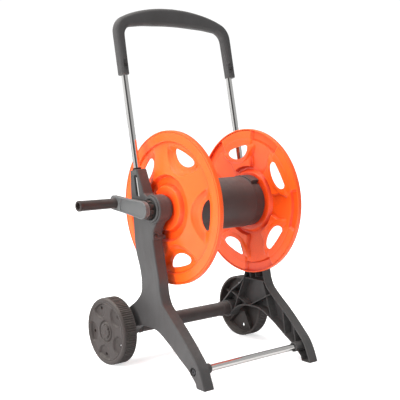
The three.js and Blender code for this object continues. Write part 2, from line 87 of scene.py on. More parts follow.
@dataclass(frozen=True)
class Layout:
    """The cart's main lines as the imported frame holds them, in millimetres from the axle line."""

    origin: Vector
    axle_z: float
    wheel_y: float
    wheel_z: float
    bar_y: float
    bar_z: float
    lean_sin: float
    lean_cos: float

    @classmethod
    def from_frame(cls) -> "Layout":
        """Reads the main lines from the boxes of the frame's nodes and the handle's slide axis.

        Returns:
            The layout of this cart.
        """

        def middle(node: str) -> Vector:
            """The middle of a node's box, in metres."""
            low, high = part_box(node)
            return (low + high) / 2

        hub = middle("reel_shaft")
        sides = (middle("left_side_frame") + middle("right_side_frame")) / 2
        origin = Vector((sides.x, hub.y, 0.0))
        wheel = (middle("wheel_axle") - origin) / MM
        bar = (middle("front_bar") - origin) / MM
        slide = next(j for j in frame["joints"] if j["name"] == "handle_slide")
        return cls(
            origin=origin,
            axle_z=hub.z / MM,
            wheel_y=wheel.y,
            wheel_z=wheel.z,
            bar_y=bar.y,
            bar_z=bar.z,
            lean_sin=slide["axis"][1],
            lean_cos=slide["axis"][2],
        )

    def leaned(self, x: float, s: float, n: float) -> Spot:
        """A point of the handle's own frame, set into the cart.

        Args:
            x: distance along the axle.
            s: distance up along the handle tubes from the top of the posts.
            n: distance behind the middle plane of the tubes.

        Returns:
            The point in the cart's millimetres.
        """
        return (
            x,
            POST_TOP_Y + s * self.lean_sin + n * self.lean_cos,
            POST_TOP_Z + s * self.lean_cos - n * self.lean_sin,
        )

    def leaned_block(self, x: float, n: float, s: float) -> Spot:
        """A point of a block whose outline lies across the handle tubes."""
        return self.leaned(x, s, n)

    def tube_axis(self, s: float = 0.0, n: float = 0.0) -> "Axis":
        """The line of the left handle tube, measured along it from the top of the post."""
        return Axis(
            self.leaned(-TUBE_X, s, n),
            (0.0, self.lean_sin, self.lean_cos),
            (0.0, self.lean_cos, -self.lean_sin),
            (1.0, 0.0, 0.0),
        )


# ---------------- drawing
def arc(cx: float, cy: float, radius: float, start: float, end: float, steps: int) -> list[Flat]:
    """Points along an arc.

    Args:
        cx: first coordinate of the centre.
        cy: second coordinate of the centre.
        radius: the arc's radius.
        start: first angle in degrees.
        end: last angle in degrees.
        steps: how many chords make the arc.

    Returns:
        The points, with both ends.
    """
    angles = [math.radians(start + (end - start) * i / steps) for i in range(steps + 1)]
    return [(cx + radius * math.cos(a), cy + radius * math.sin(a)) for a in angles]


def through(points: Sequence[Flat], step: float = 5.0) -> list[Flat]:
    """A smooth curve through the points, with both ends.

    Args:
        points: the points that the curve passes through.
        step: about how far apart its samples lie.

    Returns:
        The sampled curve.
    """
    p = [Vector(q) for q in points]
    spans = [(b - a).length for a, b in zip(p, p[1:])]
    slopes = [(b - a) / d for a, b, d in zip(p, p[1:], spans)]
    inner = [
        (slopes[i] * spans[i - 1] + slopes[i - 1] * spans[i]) / (spans[i - 1] + spans[i])
        for i in range(1, len(slopes))
    ]
    tangents = [slopes[0], *inner, slopes[-1]]
    out: list[Flat] = []
    for i, span in enumerate(spans):
        count = max(1, round(span / step))
        for k in range(count):
            t = k / count
            a, b = 2 * t**3 - 3 * t**2 + 1, t**3 - 2 * t**2 + t
            c, d = 3 * t**2 - 2 * t**3, t**3 - t**2
            v = p[i] * a + tangents[i] * (b * span) + p[i + 1] * c + tangents[i + 1] * (d * span)
            out.append((v.x, v.y))
    return [*out, (p[-1].x, p[-1].y)]


def soften(
    points: Sequence[Flat], radius: float, closed: bool = True, steps: int = 4, limit: float = 22.0
) -> list[Flat]:
    """Rounds the corners of an outline.

    Args:
        points: the outline.
        radius: wanted corner radius; a short side takes a smaller one.
        closed: whether the last point joins the first.
        steps: how many chords each rounded corner has.
        limit: corners that turn less than this many degrees stay.

    Returns:
        The outline with rounded corners.
    """
    out: list[Flat] = []
    count = len(points)
    for i, point in enumerate(points):
        if not closed and i in (0, count - 1):
            out.append(point)
            continue
        here = Vector(point)
        back = Vector(points[i - 1]) - here
        ahead = Vector(points[(i + 1) % count]) - here
        if back.length < TINY or ahead.length < TINY:
            out.append(point)
            continue
        turn = math.pi - back.angle(ahead)
        if turn < math.radians(limit) or turn > math.radians(178):
            out.append(point)
            continue
        reach = min(radius * math.tan(turn / 2), 0.46 * back.length, 0.46 * ahead.length)
        a, b = here + back.normalized() * reach, here + ahead.normalized() * reach
        for k in range(steps + 1):
            t = k / steps
            v = a * (1 - t) ** 2 + here * (2 * t * (1 - t)) + b * t**2
            out.append((v.x, v.y))
    return out


def inset(points: Sequence[Flat], distance: float) -> list[Flat]:
    """Moves a counter-clockwise outline inwards, keeping its number of points.

    Args:
        points: the outline.
        distance: how far it moves; a negative distance grows it.

    Returns:
        The moved outline, with the places that would cross pulled together.
    """
    count = len(points)
    out: list[Vector] = []
    for i in range(count):
        p, q, r = (Vector(points[(i + k) % count]) for k in (-1, 0, 1))
        u, v = q - p, r - q
        if u.length < TINY or v.length < TINY:
            u = v = r - p
        n1 = Vector((-u.y, u.x)).normalized()
        n2 = Vector((-v.y, v.x)).normalized()
        out.append(q + (n1 + n2) * (distance / max(0.3, 1 + n1.dot(n2))))
    sides = [Vector(points[(i + 1) % count]) - Vector(points[i]) for i in range(count)]
    for _ in range(8):
        crossed = [(out[(i + 1) % count] - out[i]).dot(sides[i]) < 0 for i in range(count)]
        if not any(crossed):
            break
        i = 0
        while i < count:
            if not crossed[i]:
                i += 1
                continue
            last = i
            while last < count and crossed[last]:
                last += 1
            run = [k % count for k in range(i, last + 1)]
            mean = sum((out[k] for k in run), Vector((0, 0))) / len(run)
            for k in run:
                out[k] = mean.copy()
            i = last
    return [(v.x, v.y) for v in out]


def smoothstep(low: float, high: float, value: float) -> float:
    """A soft step from 0 at low to 1 at high."""
    t = min(1.0, max(0.0, (value - low) / (high - low)))
    return t * t * (3 - 2 * t)


def wave(angle: float, count: int) -> float:
    """A wave that falls from 1 to 0 and rises again, that many times round a turn."""
    return abs((angle * count / FULL_TURN) % 1 - 0.5) * 2


def fillet(radius: float, steps: int = 4) -> list[Flat]:
    """Quarter round edge as (inset, depth) pairs, from the side wall to the face."""
    angles = [math.pi / 2 * k / steps for k in range(steps + 1)]
    return [(radius * (1 - math.cos(a)), radius * (1 - math.sin(a))) for a in angles]


# ---------------- solids
@dataclass(frozen=True)
class Axis:
    """A line that pieces are turned about."""

    origin: Spot
    along: Spot = (1.0, 0.0, 0.0)
    up: Spot = (0.0, 0.0, 1.0)
    side: Spot = (0.0, -1.0, 0.0)

    def at(self, radius: float, along: float, angle: float) -> Spot:
        """A point at that radius, distance along the line and angle from the up direction."""
        c, s = radius * math.cos(angle), radius * math.sin(angle)
        return tuple(
            o + a * along + u * c + w * s
            for o, a, u, w in zip(self.origin, self.along, self.up, self.side)
        )


@dataclass(frozen=True)
class Window:
    """A star-shaped opening of a web, in (tangential, radial) millimetres about its own centre."""

    outline: tuple[Flat, ...]
    centre: float

    def reach(self, angle: float) -> float:
        """Distance from the centre to the edge of the opening in that direction.

        Args:
            angle: direction about the opening's centre, in radians.

        Returns:
            The distance in millimetres.
        """
        du, dv = math.cos(angle), math.sin(angle)
        best = 0.0
        count = len(self.outline)
        for i in range(count):
            (u0, v0), (u1, v1) = self.outline[i], self.outline[(i + 1) % count]
            v0, v1 = v0 - self.centre, v1 - self.centre
            eu, ev = u1 - u0, v1 - v0
            det = du * -ev + dv * eu
            if abs(det) < 1e-9:
                continue
            distance = (u0 * -ev + v0 * eu) / det
            share = (du * v0 - dv * u0) / det
            if distance > 0 and -1e-6 <= share <= 1 + 1e-6:
                best = max(best, distance)
        return best


@dataclass
class Shell:
    """Gathers points and faces in millimetres and turns them into one piece."""

    points: list[Spot] = field(default_factory=list)
    faces: list[tuple[int, ...]] = field(default_factory=list)

    def ring(self, spots: Sequence[Spot]) -> Ring:
        """Adds points and returns their numbers."""
        start = len(self.points)
        self.points.extend(spots)
        return list(range(start, len(self.points)))

    def bridge(self, a: Ring, b: Ring, closed: bool = True) -> None:
        """Joins two rings with a band of faces.

        Args:
            a: first ring, or a single point.
            b: second ring, or a single point.
            closed: whether the rings close on themselves.
        """
        if len(a) == 1 and len(b) == 1:
            return
        count = max(len(a), len(b))
        for i in range(count if closed else count - 1):
            k = (i + 1) % count
            if len(a) == 1:
                self.faces.append((a[0], b[k], b[i]))
            elif len(b) == 1:
                self.faces.append((a[i], a[k], b[0]))
            else:
                self.faces.append((a[i], a[k], b[k], b[i]))

    def cap(self, rings: Sequence[Ring], flats: Sequence[Sequence[Flat]]) -> None:
        """Fills the flat area inside the first ring and outside the others.

        Args:
            rings: point numbers of each ring.
            flats: the same rings as flat coordinates.
        """
        loops: list[list[Vector]] = []
        numbers: list[int] = []
        for ring, flat in zip(rings, flats):
            loop: list[Vector] = []
            for number, (u, v) in zip(ring, flat):
                spot = Vector((u, v, 0))
                if loop and ((spot - loop[-1]).length < 1e-4 or (spot - loop[0]).length < 1e-4):
                    continue
                loop.append(spot)
                numbers.append(number)
            loops.append(loop)
        for tri in tessellate_polygon(loops):
            self.faces.append(tuple(numbers[i] for i in tri))

    def turn(
        self,
        axis: Axis,
        profile: Sequence[Flat],
        segments: int = 64,
        closed: bool = True,
        shape: Callable[[float, float, float], Flat] | None = None,
    ) -> "Shell":
        """Turns a profile about an axis.

        Args:
            axis: the line to turn about.
            profile: (radius, distance along) points.
            segments: how many steps round.
            closed: whether the profile's last point joins its first.
            shape: changes (radius, along) at each angle, or None.

        Returns:
            This shell.
        """
        rings: list[Ring] = []
        for radius, along in profile:
            if radius < TINY:
                rings.append(self.ring([axis.at(0, along, 0)]))
                continue
            spots = []
            for k in range(segments):
                angle = FULL_TURN * k / segments
                r, a = shape(radius, along, angle) if shape else (radius, along)
                spots.append(axis.at(r, a, angle))
            rings.append(self.ring(spots))
        for a, b in zip(rings, rings[1:]):
            self.bridge(a, b)
        if closed:
            self.bridge(rings[-1], rings[0])
        return self

    def slab(
        self,
        place: Place,
        outline: Sequence[Flat],
        levels: Sequence[Flat],
        holes: Sequence[tuple[Sequence[Flat], Sequence[Flat]]] = (),
        pockets: Sequence[tuple[Sequence[Flat], Sequence[Flat]]] = (),
    ) -> "Shell":
        """A flat body with shaped edges: a first face, a skin of rings and a last face.

        Args:
            place: sets (u, v, depth) into the cart.
            outline: counter-clockwise outline.
            levels: (inset, depth) of each ring from the first face to the last.
            holes: openings through both faces, each an outline and its (growth, depth) rings.
            pockets: hollows in the last face, each an outline and its (growth, depth) rings.

        Returns:
            This shell.
        """

        def skin(line: Sequence[Flat], steps: Sequence[Flat], sign: int) -> tuple[list, list]:
            """Adds the rings of one edge and returns their point numbers and flat outlines."""
            flats = [inset(line, sign * d) for d, _ in steps]
            rings = [
                self.ring([place(u, v, depth) for u, v in flat])
                for flat, (_, depth) in zip(flats, steps)
            ]
            for a, b in zip(rings, rings[1:]):
                self.bridge(a, b)
            return rings, flats

        rings, flats = skin(outline, levels, 1)
        first, last = ([rings[0]], [flats[0]]), ([rings[-1]], [flats[-1]])
        for line, steps in holes:
            rings, flats = skin(line, steps, -1)
            first[0].append(rings[0])
            first[1].append(flats[0])
            last[0].append(rings[-1])
            last[1].append(flats[-1])
        for line, steps in pockets:
            rings, flats = skin(line, steps, -1)
            last[0].append(rings[0])
            last[1].append(flats[0])
            self.cap([rings[-1]], [flats[-1]])
        self.cap(*first)
        self.cap(*last)
        return self

    def web(
        self,
        axis: Axis,
        inner: float,
        outer: float,
        phases: Sequence[float],
        window: Window,
        level: Callable[[float, float], float],
        arc_steps: int,
        rings: int = 24,
        lip: float = 1.2,
        into: int = 1,
    ) -> list[Ring]:
        """A ring-shaped face with one opening in each sector, as a smooth grid round the openings.

        Args:
            axis: the line it is turned about.
            inner: radius where it starts.
            outer: radius where it ends.
            phases: angle of the middle of each sector, in radians.
            window: the opening.
            level: distance along the axis for (radius, angle from the sector's middle).
            arc_steps: points along one sector's arc, so that neighbours meet it.
            rings: steps from the opening to the sector's edge.
            lip: width of the fine groove that eases the opening's edge.
            into: direction of the wall along the axis, 1 or -1.

        Returns:
            The deepest ring of each opening, for the wall between two faces.
        """
        half = math.pi / len(phases)
        side_steps = max(4, round((outer - inner) / SIDE_STEP))
        border: list[Flat] = []
        for k in range(arc_steps):
            border.append((outer, -half + 2 * half * k / arc_steps))
        for k in range(side_steps):
            border.append((outer + (inner - outer) * k / side_steps, half))
        for k in range(arc_steps):
            border.append((inner, half - 2 * half * k / arc_steps))
        for k in range(side_steps):
            border.append((inner + (outer - inner) * k / side_steps, -half))
        edge = [(r * math.sin(a), r * math.cos(a)) for r, a in border]
        ways = [math.atan2(v - window.centre, u) for u, v in edge]
        reach = [window.reach(w) for w in ways]
        groove = lip * (1 - math.sqrt(0.5))
        flats: list[tuple[list[Flat], float]] = []
        for growth, drop in ((0.0, 0.0), (groove, groove), (lip, 0.0)):
            flat = [
                ((d + growth) * math.cos(w), window.centre + (d + growth) * math.sin(w))
                for d, w in zip(reach, ways)
            ]
            flats.append((flat, into * drop))
        start = flats[-1][0]
        for k in range(1, rings + 1):
            t = (k / rings) ** SPREAD
            flat = [
                (u0 + (u1 - u0) * t, v0 + (v1 - v0) * t)
                for (u0, v0), (u1, v1) in zip(start, edge)
            ]
            flats.append((flat, 0.0))
        ends: list[Ring] = []
        for phase in phases:
            previous: Ring | None = None
            for flat, drop in flats:
                spots = []
                for u, v in flat:
                    r, a = math.hypot(u, v), math.atan2(u, v)
                    spots.append(axis.at(r, level(r, a) + drop, phase + a))
                ring = self.ring(spots)
                if previous is None:
                    ends.append(ring)
                else:
                    self.bridge(previous, ring)
                previous = ring
        return ends

    def mirrored(self) -> "Shell":
        """The same shell on the other side of the cart."""
        return Shell([(-x, y, z) for x, y, z in self.points], list(self.faces))

    def mesh(self, name: str, layout: Layout) -> bpy.types.Object:
        """Turns the shell into a smooth-shaded object in metres.

        Args:
            name: the piece's name.
            layout: where the axle line stands.

        Returns:
            The new object, linked to the scene.
        """
        mesh = bpy.data.meshes.new(name)
        spots = [layout.origin + Vector(p) * MM for p in self.points]
        mesh.from_pydata(spots, [], self.faces)
        work = bmesh.new()
        work.from_mesh(mesh)
        bmesh.ops.remove_doubles(work, verts=work.verts, dist=1e-6)
        bmesh.ops.dissolve_degenerate(work, edges=work.edges, dist=1e-7)
        loose = [v for v in work.verts if not v.link_faces]
        bmesh.ops.delete(work, geom=loose, context="VERTS")
        bmesh.ops.recalc_face_normals(work, faces=work.faces)
        work.to_mesh(mesh)
        work.free()
        mesh.shade_smooth()
        mesh.set_sharp_from_angle(angle=SHARP_ANGLE)
        obj = bpy.data.objects.new(name, mesh)
        bpy.context.scene.collection.objects.link(obj)
        return obj


def weigh_normals(obj: bpy.types.Object) -> None:
    """Keeps large flat faces flat beside their rounded edges."""
    modifier = obj.modifiers.new("flat_faces", "WEIGHTED_NORMAL")
    modifier.keep_sharp = True
    modifier.weight = 80


# ---------------- finishes
@dataclass(frozen=True)
class Colour:
    """A colour as the eye reads it, 0 to 255 for each channel."""

    red: int
    green: int
    blue: int

    def linear(self, gain: float = 1.0) -> tuple[float, float, float, float]:
        """The colour as shader values.

        Args:
            gain: brightens or darkens it.

        Returns:
            Linear red, green, blue and alpha.
        """

        def channel(value: int) -> float:
            """One channel from 0..255 to linear."""
            c = value / 255
            return gain * (c / 12.92 if c <= 0.04045 else ((c + 0.055) / 1.055) ** 2.4)

        return (channel(self.red), channel(self.green), channel(self.blue), 1.0)


class Graph:
    """Adds and links the nodes of one shader tree."""

    def __init__(self, tree: Tree) -> None:
        """Starts on a tree.

        Args:
            tree: the node tree to fill.
        """
        self.tree = tree

    def node(self, kind: str, **values: object) -> bpy.types.Node:
        """Adds a node.

        Args:
            kind: the node's type name without its ShaderNode prefix.
            values: node properties; names with an in_ prefix set the socket of that name instead.

        Returns:
            The new node.
        """
        made = self.tree.nodes.new("ShaderNode" + kind)
        for key, value in values.items():
            if key.startswith("in_"):
                socket = key[3:]
                made.inputs[int(socket) if socket.isdigit() else socket].default_value = value
            else:
                setattr(made, key, value)
        return made

    def feed(self, socket: Socket, value: object) -> None:
        """Links a socket to an input, or sets the input to a plain value."""
        if isinstance(value, Socket):
            self.tree.links.new(value, socket)
        else:
            socket.default_value = value

    def maths(self, operation: str, *values: object, clamp: bool = False) -> Socket:
        """A Math node.

        Args:
            operation: the Math node's operation.
            values: its inputs, as sockets or numbers.
            clamp: whether the result stays between 0 and 1.

        Returns:
            The result.
        """
        made = self.node("Math", operation=operation, use_clamp=clamp)
        for socket, value in zip(made.inputs, values):
            self.feed(socket, value)
        return made.outputs[0]

    def ramp(self, value: object, low: float, high: float, to_low: float = 0.0,
             to_high: float = 1.0) -> Socket:
        """A soft step of a value between two levels.

        Args:
            value: the socket to read.
            low: level where the step starts.
            high: level where it ends.
            to_low: result below the step.
            to_high: result above the step.

        Returns:
            The result.
        """
        made = self.node("MapRange", interpolation_type="SMOOTHSTEP")
        for socket, given in zip(made.inputs, (value, low, high, to_low, to_high)):
            self.feed(socket, given)
        return made.outputs[0]

    def blend(self, factor: object, a: object, b: object, kind: str = "MIX") -> Socket:
        """Mixes two colours.

        Args:
            factor: share of the second colour.
            a: first colour.
            b: second colour.
            kind: how they are blended.

        Returns:
            The mixed colour.
        """
        made = self.node("Mix", data_type="RGBA", blend_type=kind)
        self.feed(made.inputs[0], factor)
        self.feed(made.inputs[6], a)
        self.feed(made.inputs[7], b)
        return made.outputs[2]

    def noise(self, vector: object, scale: object, detail: float, rough: float = 0.5) -> Socket:
        """A noise value over the surface.

        Args:
            vector: coordinates to read.
            scale: how fine it is.
            detail: how many finer layers it has.
            rough: strength of the finer layers.

        Returns:
            The noise value.
        """
        made = self.node("TexNoise", in_Detail=detail, in_Roughness=rough)
        self.feed(made.inputs["Vector"], vector)
        self.feed(made.inputs["Scale"], scale)
        return made.outputs["Fac"]

    def object_place(self) -> Socket:
        """Coordinates that are fixed to the piece."""
        return self.node("TexCoord").outputs["Object"]


class Effect(Enum):
    """The shared surface effects, each a node group."""

    GRAIN = "moulded_grain"
    FLOW = "mould_flow"
    # Edge wear, also used as a painted edge highlight.
    WEAR = "edge_wear_and_highlight"
    DUST = "settled_dust"
    DRAWN = "drawn_metal"


class Effects:
    """Builds each shared effect once and places it in materials."""

    def __init__(self) -> None:
        """Builds every group."""
        self.groups: dict[Effect, Tree] = {
            Effect.GRAIN: self._grain(),
            Effect.FLOW: self._flow(),
            Effect.WEAR: self._wear_and_highlight(),
            Effect.DUST: self._dust(),
            Effect.DRAWN: self._drawn(),
        }

    @staticmethod
    def _start(effect: Effect, inputs: dict[str, float], outputs: Sequence[str]) -> tuple:
        """Makes an empty group with named number sockets.

        Args:
            effect: which effect it is for.
            inputs: names and default values of the inputs.
            outputs: names of the outputs.

        Returns:
            The group, its graph, its input node and its output node.
        """
        tree = bpy.data.node_groups.new(effect.value, "ShaderNodeTree")
        for name, value in inputs.items():
            socket = tree.interface.new_socket(name, in_out="INPUT", socket_type="NodeSocketFloat")
            socket.default_value = value
        for name in outputs:
            tree.interface.new_socket(name, in_out="OUTPUT", socket_type="NodeSocketFloat")
        graph = Graph(tree)
        return tree, graph, tree.nodes.new("NodeGroupInput"), tree.nodes.new("NodeGroupOutput")

    def _grain(self) -> Tree:
        """Fine spark-eroded grain of a mould: a height and a shade.

        Returns:
            The group.
        """
        tree, g, given, out = self._start(
            Effect.GRAIN, {"Fineness": 900.0, "Depth": 1.0}, ["Height", "Shade"]
        )
        place = g.object_place()
        fine = g.noise(place, given.outputs["Fineness"], 3.0, 0.6)
        cells = g.node("TexVoronoi", feature="SMOOTH_F1", in_Smoothness=0.6)
        g.feed(cells.inputs["Vector"], place)
        g.feed(cells.inputs["Scale"], g.maths("MULTIPLY", given.outputs["Fineness"], 0.55))
        pebble = g.ramp(cells.outputs["Distance"], 0.1, 0.75)
        mixed = g.maths("ADD", g.maths("MULTIPLY", fine, 0.6), g.maths("MULTIPLY", pebble, 0.4))
        g.feed(out.inputs["Height"], g.maths("MULTIPLY", mixed, given.outputs["Depth"]))
        g.feed(out.inputs["Shade"], mixed)
        return tree

    def _flow(self) -> Tree:
        """Slow cloudy change of shade and gloss where plastic flowed in the mould.

        Returns:
            The group.
        """
        tree, g, given, out = self._start(Effect.FLOW, {"Size": 9.0}, ["Cloud", "Streak"])
        place = g.object_place()
        warp = g.node("TexNoise", in_Detail=2.0)
        g.feed(warp.inputs["Vector"], place)
        g.feed(warp.inputs["Scale"], given.outputs["Size"])
        moved = g.node("VectorMath", operation="MULTIPLY_ADD")
        g.feed(moved.inputs[0], warp.outputs["Color"])
        g.feed(moved.inputs[1], (0.12, 0.12, 0.12))
        g.feed(moved.inputs[2], place)
        g.feed(out.inputs["Cloud"], g.noise(moved.outputs[0], given.outputs["Size"], 4.0))
        stretched = g.node("Mapping", in_Scale=(1.0, 1.0, 0.18))
        g.feed(stretched.inputs["Vector"], moved.outputs[0])
        streak = g.noise(stretched.outputs[0], g.maths("MULTIPLY", given.outputs["Size"], 7.0), 3.0)
        g.feed(out.inputs["Streak"], streak)
        return tree

    def _wear_and_highlight(self) -> Tree:
        """Rubbed, slightly polished edges, broken up by noise; at full amount a painted edge highlight.

        Returns:
            The group.
        """
        tree, g, given, out = self._start(Effect.WEAR, {"Amount": 0.5, "Breakup": 120.0}, ["Mask"])
        geometry = g.node("NewGeometry")
        edge = g.ramp(geometry.outputs["Pointiness"], 0.515, 0.60)
        patch = g.ramp(g.noise(g.object_place(), given.outputs["Breakup"], 4.0, 0.65), 0.34, 0.66)
        worn = g.maths("MULTIPLY", edge, patch)
        g.feed(out.inputs["Mask"], g.maths("MULTIPLY", worn, given.outputs["Amount"], clamp=True))
        return tree

    def _dust(self) -> Tree:
        """A thin film of dust on faces that look up.

        Returns:
            The group.
        """
        tree, g, given, out = self._start(Effect.DUST, {"Amount": 0.2, "Clumps": 60.0}, ["Mask"])
        geometry = g.node("NewGeometry")
        split = g.node("SeparateXYZ")
        g.feed(split.inputs[0], geometry.outputs["Normal"])
        upward = g.ramp(split.outputs["Z"], 0.25, 1.0)
        patch = g.ramp(g.noise(g.object_place(), given.outputs["Clumps"], 6.0, 0.7), 0.3, 0.75, 0.35)
        film = g.maths("MULTIPLY", upward, patch)
        g.feed(out.inputs["Mask"], g.maths("MULTIPLY", film, given.outputs["Amount"], clamp=True))
        return tree

    def _drawn(self) -> Tree:
        """Fine lines along a drawn tube and faint polishing marks across it.

        Returns:
            The group.
        """
        tree, g, given, out = self._start(
            Effect.DRAWN, {"Fineness": 500.0, "Along X": 0.0, "Lean": 0.0}, ["Line", "Mark"]
        )
        turned = g.node("VectorRotate", rotation_type="X_AXIS")
        g.feed(turned.inputs["Vector"], g.object_place())
        g.feed(turned.inputs["Angle"], given.outputs["Lean"])
        split = g.node("SeparateXYZ")
        g.feed(split.inputs[0], turned.outputs[0])
        slow = 0.012
        across_x = g.maths("SUBTRACT", 1.0, given.outputs["Along X"])
        joined = g.node("CombineXYZ")
        x_share = g.maths("MAXIMUM", across_x, slow)
        z_share = g.maths("MAXIMUM", given.outputs["Along X"], slow)
        g.feed(joined.inputs[0], g.maths("MULTIPLY", split.outputs["X"], x_share))
        g.feed(joined.inputs[1], split.outputs["Y"])
        g.feed(joined.inputs[2], g.maths("MULTIPLY", split.outputs["Z"], z_share))
        g.feed(out.inputs["Line"], g.noise(joined.outputs[0], given.outputs["Fineness"], 3.0, 0.6))
        g.feed(out.inputs["Mark"], g.noise(turned.outputs[0], 70.0, 5.0, 0.65))
        return tree

    def place(self, graph: Graph, effect: Effect, **values: float) -> bpy.types.Node:
        """Puts an effect into a material.

        Args:
            graph: the material's graph.
            effect: which effect.
            values: the group's inputs, with _ for a space.

        Returns:
            The group node.
        """
        made = graph.node("Group", node_tree=self.groups[effect])
        for key, value in values.items():
            made.inputs[key.replace("_", " ")].default_value = value
        return made


@dataclass(frozen=True)
class Finish:
    """What every finish has: a name, the record's slot and a shader start."""

    name: str
    slot: str

    def start(self) -> tuple[bpy.types.Material, Graph, bpy.types.Node]:
        """Makes an empty material.

        Returns:
            The material, its graph and its Principled BSDF.
        """
        material = bpy.data.materials.new(self.name)
        material.use_nodes = True
        tree = material.node_tree
        tree.nodes.clear()
        graph = Graph(tree)
        shader = graph.node("BsdfPrincipled")
        output = graph.node("OutputMaterial")
        tree.links.new(shader.outputs[0], output.inputs[0])
        return material, graph, shader


@dataclass(frozen=True)
class MouldedPlastic(Finish):
    """Moulded plastic with grain, flow clouds, rubbed edges, dust, and painted edge highlight and recess
    shade.
    """

    colour: Colour = Colour(80, 78, 77)
    cloud: Colour = Colour(70, 68, 67)
    # Colour of worn edges; on the crank arm it is a painted edge highlight.
    rubbed_and_highlight: Colour = Colour(120, 118, 116)
    roughness: float = 0.5
    polish: float = 0.12
    coat_roughness: float = 0.12
    dust_colour: Colour = Colour(168, 163, 156)
    cloud_size: float = 9.0
    fineness: float = 900.0
    grain_depth: float = 0.5
    # Amount of edge wear; the crank arm's full amount paints its edge highlight.
    wear_and_highlight: float = 0.3
    dust: float = 0.12
    coat: float = 0.0
    specular: float = 0.5
    scatter: float = 0.0
    # Share and colour of the painted shade that ambient occlusion lays into recesses and steep walls.
    painted_recess_shade: float = 0.0
    deep: Colour = Colour(206, 40, 10)

    def build(self, effects: Effects) -> bpy.types.Material:
        """Makes the material.

        Args:
            effects: the shared effects.

        Returns:
            The material.
        """
        material, g, shader = self.start()
        flow = effects.place(g, Effect.FLOW, Size=self.cloud_size)
        grain = effects.place(g, Effect.GRAIN, Fineness=self.fineness, Depth=1.0)
        wear_and_highlight = effects.place(g, Effect.WEAR, Amount=self.wear_and_highlight, Breakup=140.0)
        dust = effects.place(g, Effect.DUST, Amount=self.dust, Clumps=70.0)
        cloudy = g.ramp(flow.outputs["Cloud"], 0.3, 0.7)
        base = g.blend(cloudy, self.colour.linear(), self.cloud.linear())
        speck = g.ramp(grain.outputs["Shade"], 0.25, 0.75, 0.94, 1.06)
        shade = g.node("CombineColor")
        for socket in shade.inputs:
            g.feed(socket, speck)
        base = g.blend(1.0, base, shade.outputs[0], "MULTIPLY")
        # Painted shade: ambient occlusion darkens recesses and steep walls towards the deep red colour.
        if self.painted_recess_shade:
            open_share = g.node("AmbientOcclusion", samples=6, in_Distance=0.03)
            hollow = g.ramp(open_share.outputs["AO"], 0.97, 0.55, 0.0, self.painted_recess_shade)
            base = g.blend(hollow, base, self.deep.linear())
        # Worn edges take the lighter colour; on the crank arm this is a painted highlight along its edges
        # and panel border.
        base = g.blend(wear_and_highlight.outputs["Mask"], base, self.rubbed_and_highlight.linear())
        base = g.blend(dust.outputs["Mask"], base, self.dust_colour.linear())
        g.feed(shader.inputs["Base Color"], base)
        streak = g.ramp(flow.outputs["Streak"], 0.3, 0.7, -self.polish / 2, self.polish / 2)
        rough = g.maths("ADD", streak, self.roughness)
        rough = g.maths("SUBTRACT", rough, g.maths("MULTIPLY", wear_and_highlight.outputs["Mask"], 0.18))
        rough = g.maths("ADD", rough, g.maths("MULTIPLY", dust.outputs["Mask"], 0.5), clamp=True)
        g.feed(shader.inputs["Roughness"], rough)
        bump = g.node("Bump", in_Strength=self.grain_depth, in_Distance=0.00012)
        g.feed(bump.inputs["Height"], grain.outputs["Height"])
        g.feed(shader.inputs["Normal"], bump.outputs[0])
        shader.inputs["IOR"].default_value = 1.47
        shader.inputs["Specular IOR Level"].default_value = self.specular
        shader.inputs["Coat Weight"].default_value = self.coat
        shader.inputs["Coat Roughness"].default_value = self.coat_roughness
        if self.scatter:
            shader.inputs["Subsurface Weight"].default_value = self.scatter
            shader.inputs["Subsurface Radius"].default_value = (1.0, 0.35, 0.1)
            shader.inputs["Subsurface Scale"].default_value = 0.004
        return material


@dataclass(frozen=True)
class PlatedMetal(Finish):
    """Plated or bare metal with drawn lines and faint handling marks."""

    colour: Colour = Colour(225, 224, 222)
    shadow: Colour = Colour(214, 212, 210)
    roughness: float = 0.05
    spread: float = 0.05
    fineness: float = 520.0
    line_depth: float = 0.006
    along_x: bool = False
    lean: float = 0.0
    dust_colour: Colour = Colour(150, 145, 138)

    def build(self, effects: Effects) -> bpy.types.Material:
        """Makes the material.

        Args:
            effects: the shared effects.

        Returns:
            The material.
        """
        material, g, shader = self.start()
        drawn = effects.place(
            g, Effect.DRAWN, Fineness=self.fineness, Along_X=float(self.along_x), Lean=self.lean
        )
        dust = effects.place(g, Effect.DUST, Amount=0.1, Clumps=90.0)
        line = g.ramp(drawn.outputs["Line"], 0.3, 0.7)
        base = g.blend(line, self.shadow.linear(), self.colour.linear())
        base = g.blend(dust.outputs["Mask"], base, self.dust_colour.linear())
        g.feed(shader.inputs["Base Color"], base)
        shader.inputs["Metallic"].default_value = 1.0
        mark = g.ramp(drawn.outputs["Mark"], 0.35, 0.75, 0.0, self.spread)
        rough = g.maths("ADD", mark, self.roughness)
        rough = g.maths("ADD", rough, g.maths("MULTIPLY", dust.outputs["Mask"], 0.3), clamp=True)
        g.feed(shader.inputs["Roughness"], rough)
        bump = g.node("Bump", in_Strength=self.line_depth, in_Distance=0.0001)
        g.feed(bump.inputs["Height"], drawn.outputs["Line"])
        g.feed(shader.inputs["Normal"], bump.outputs[0])
        return material


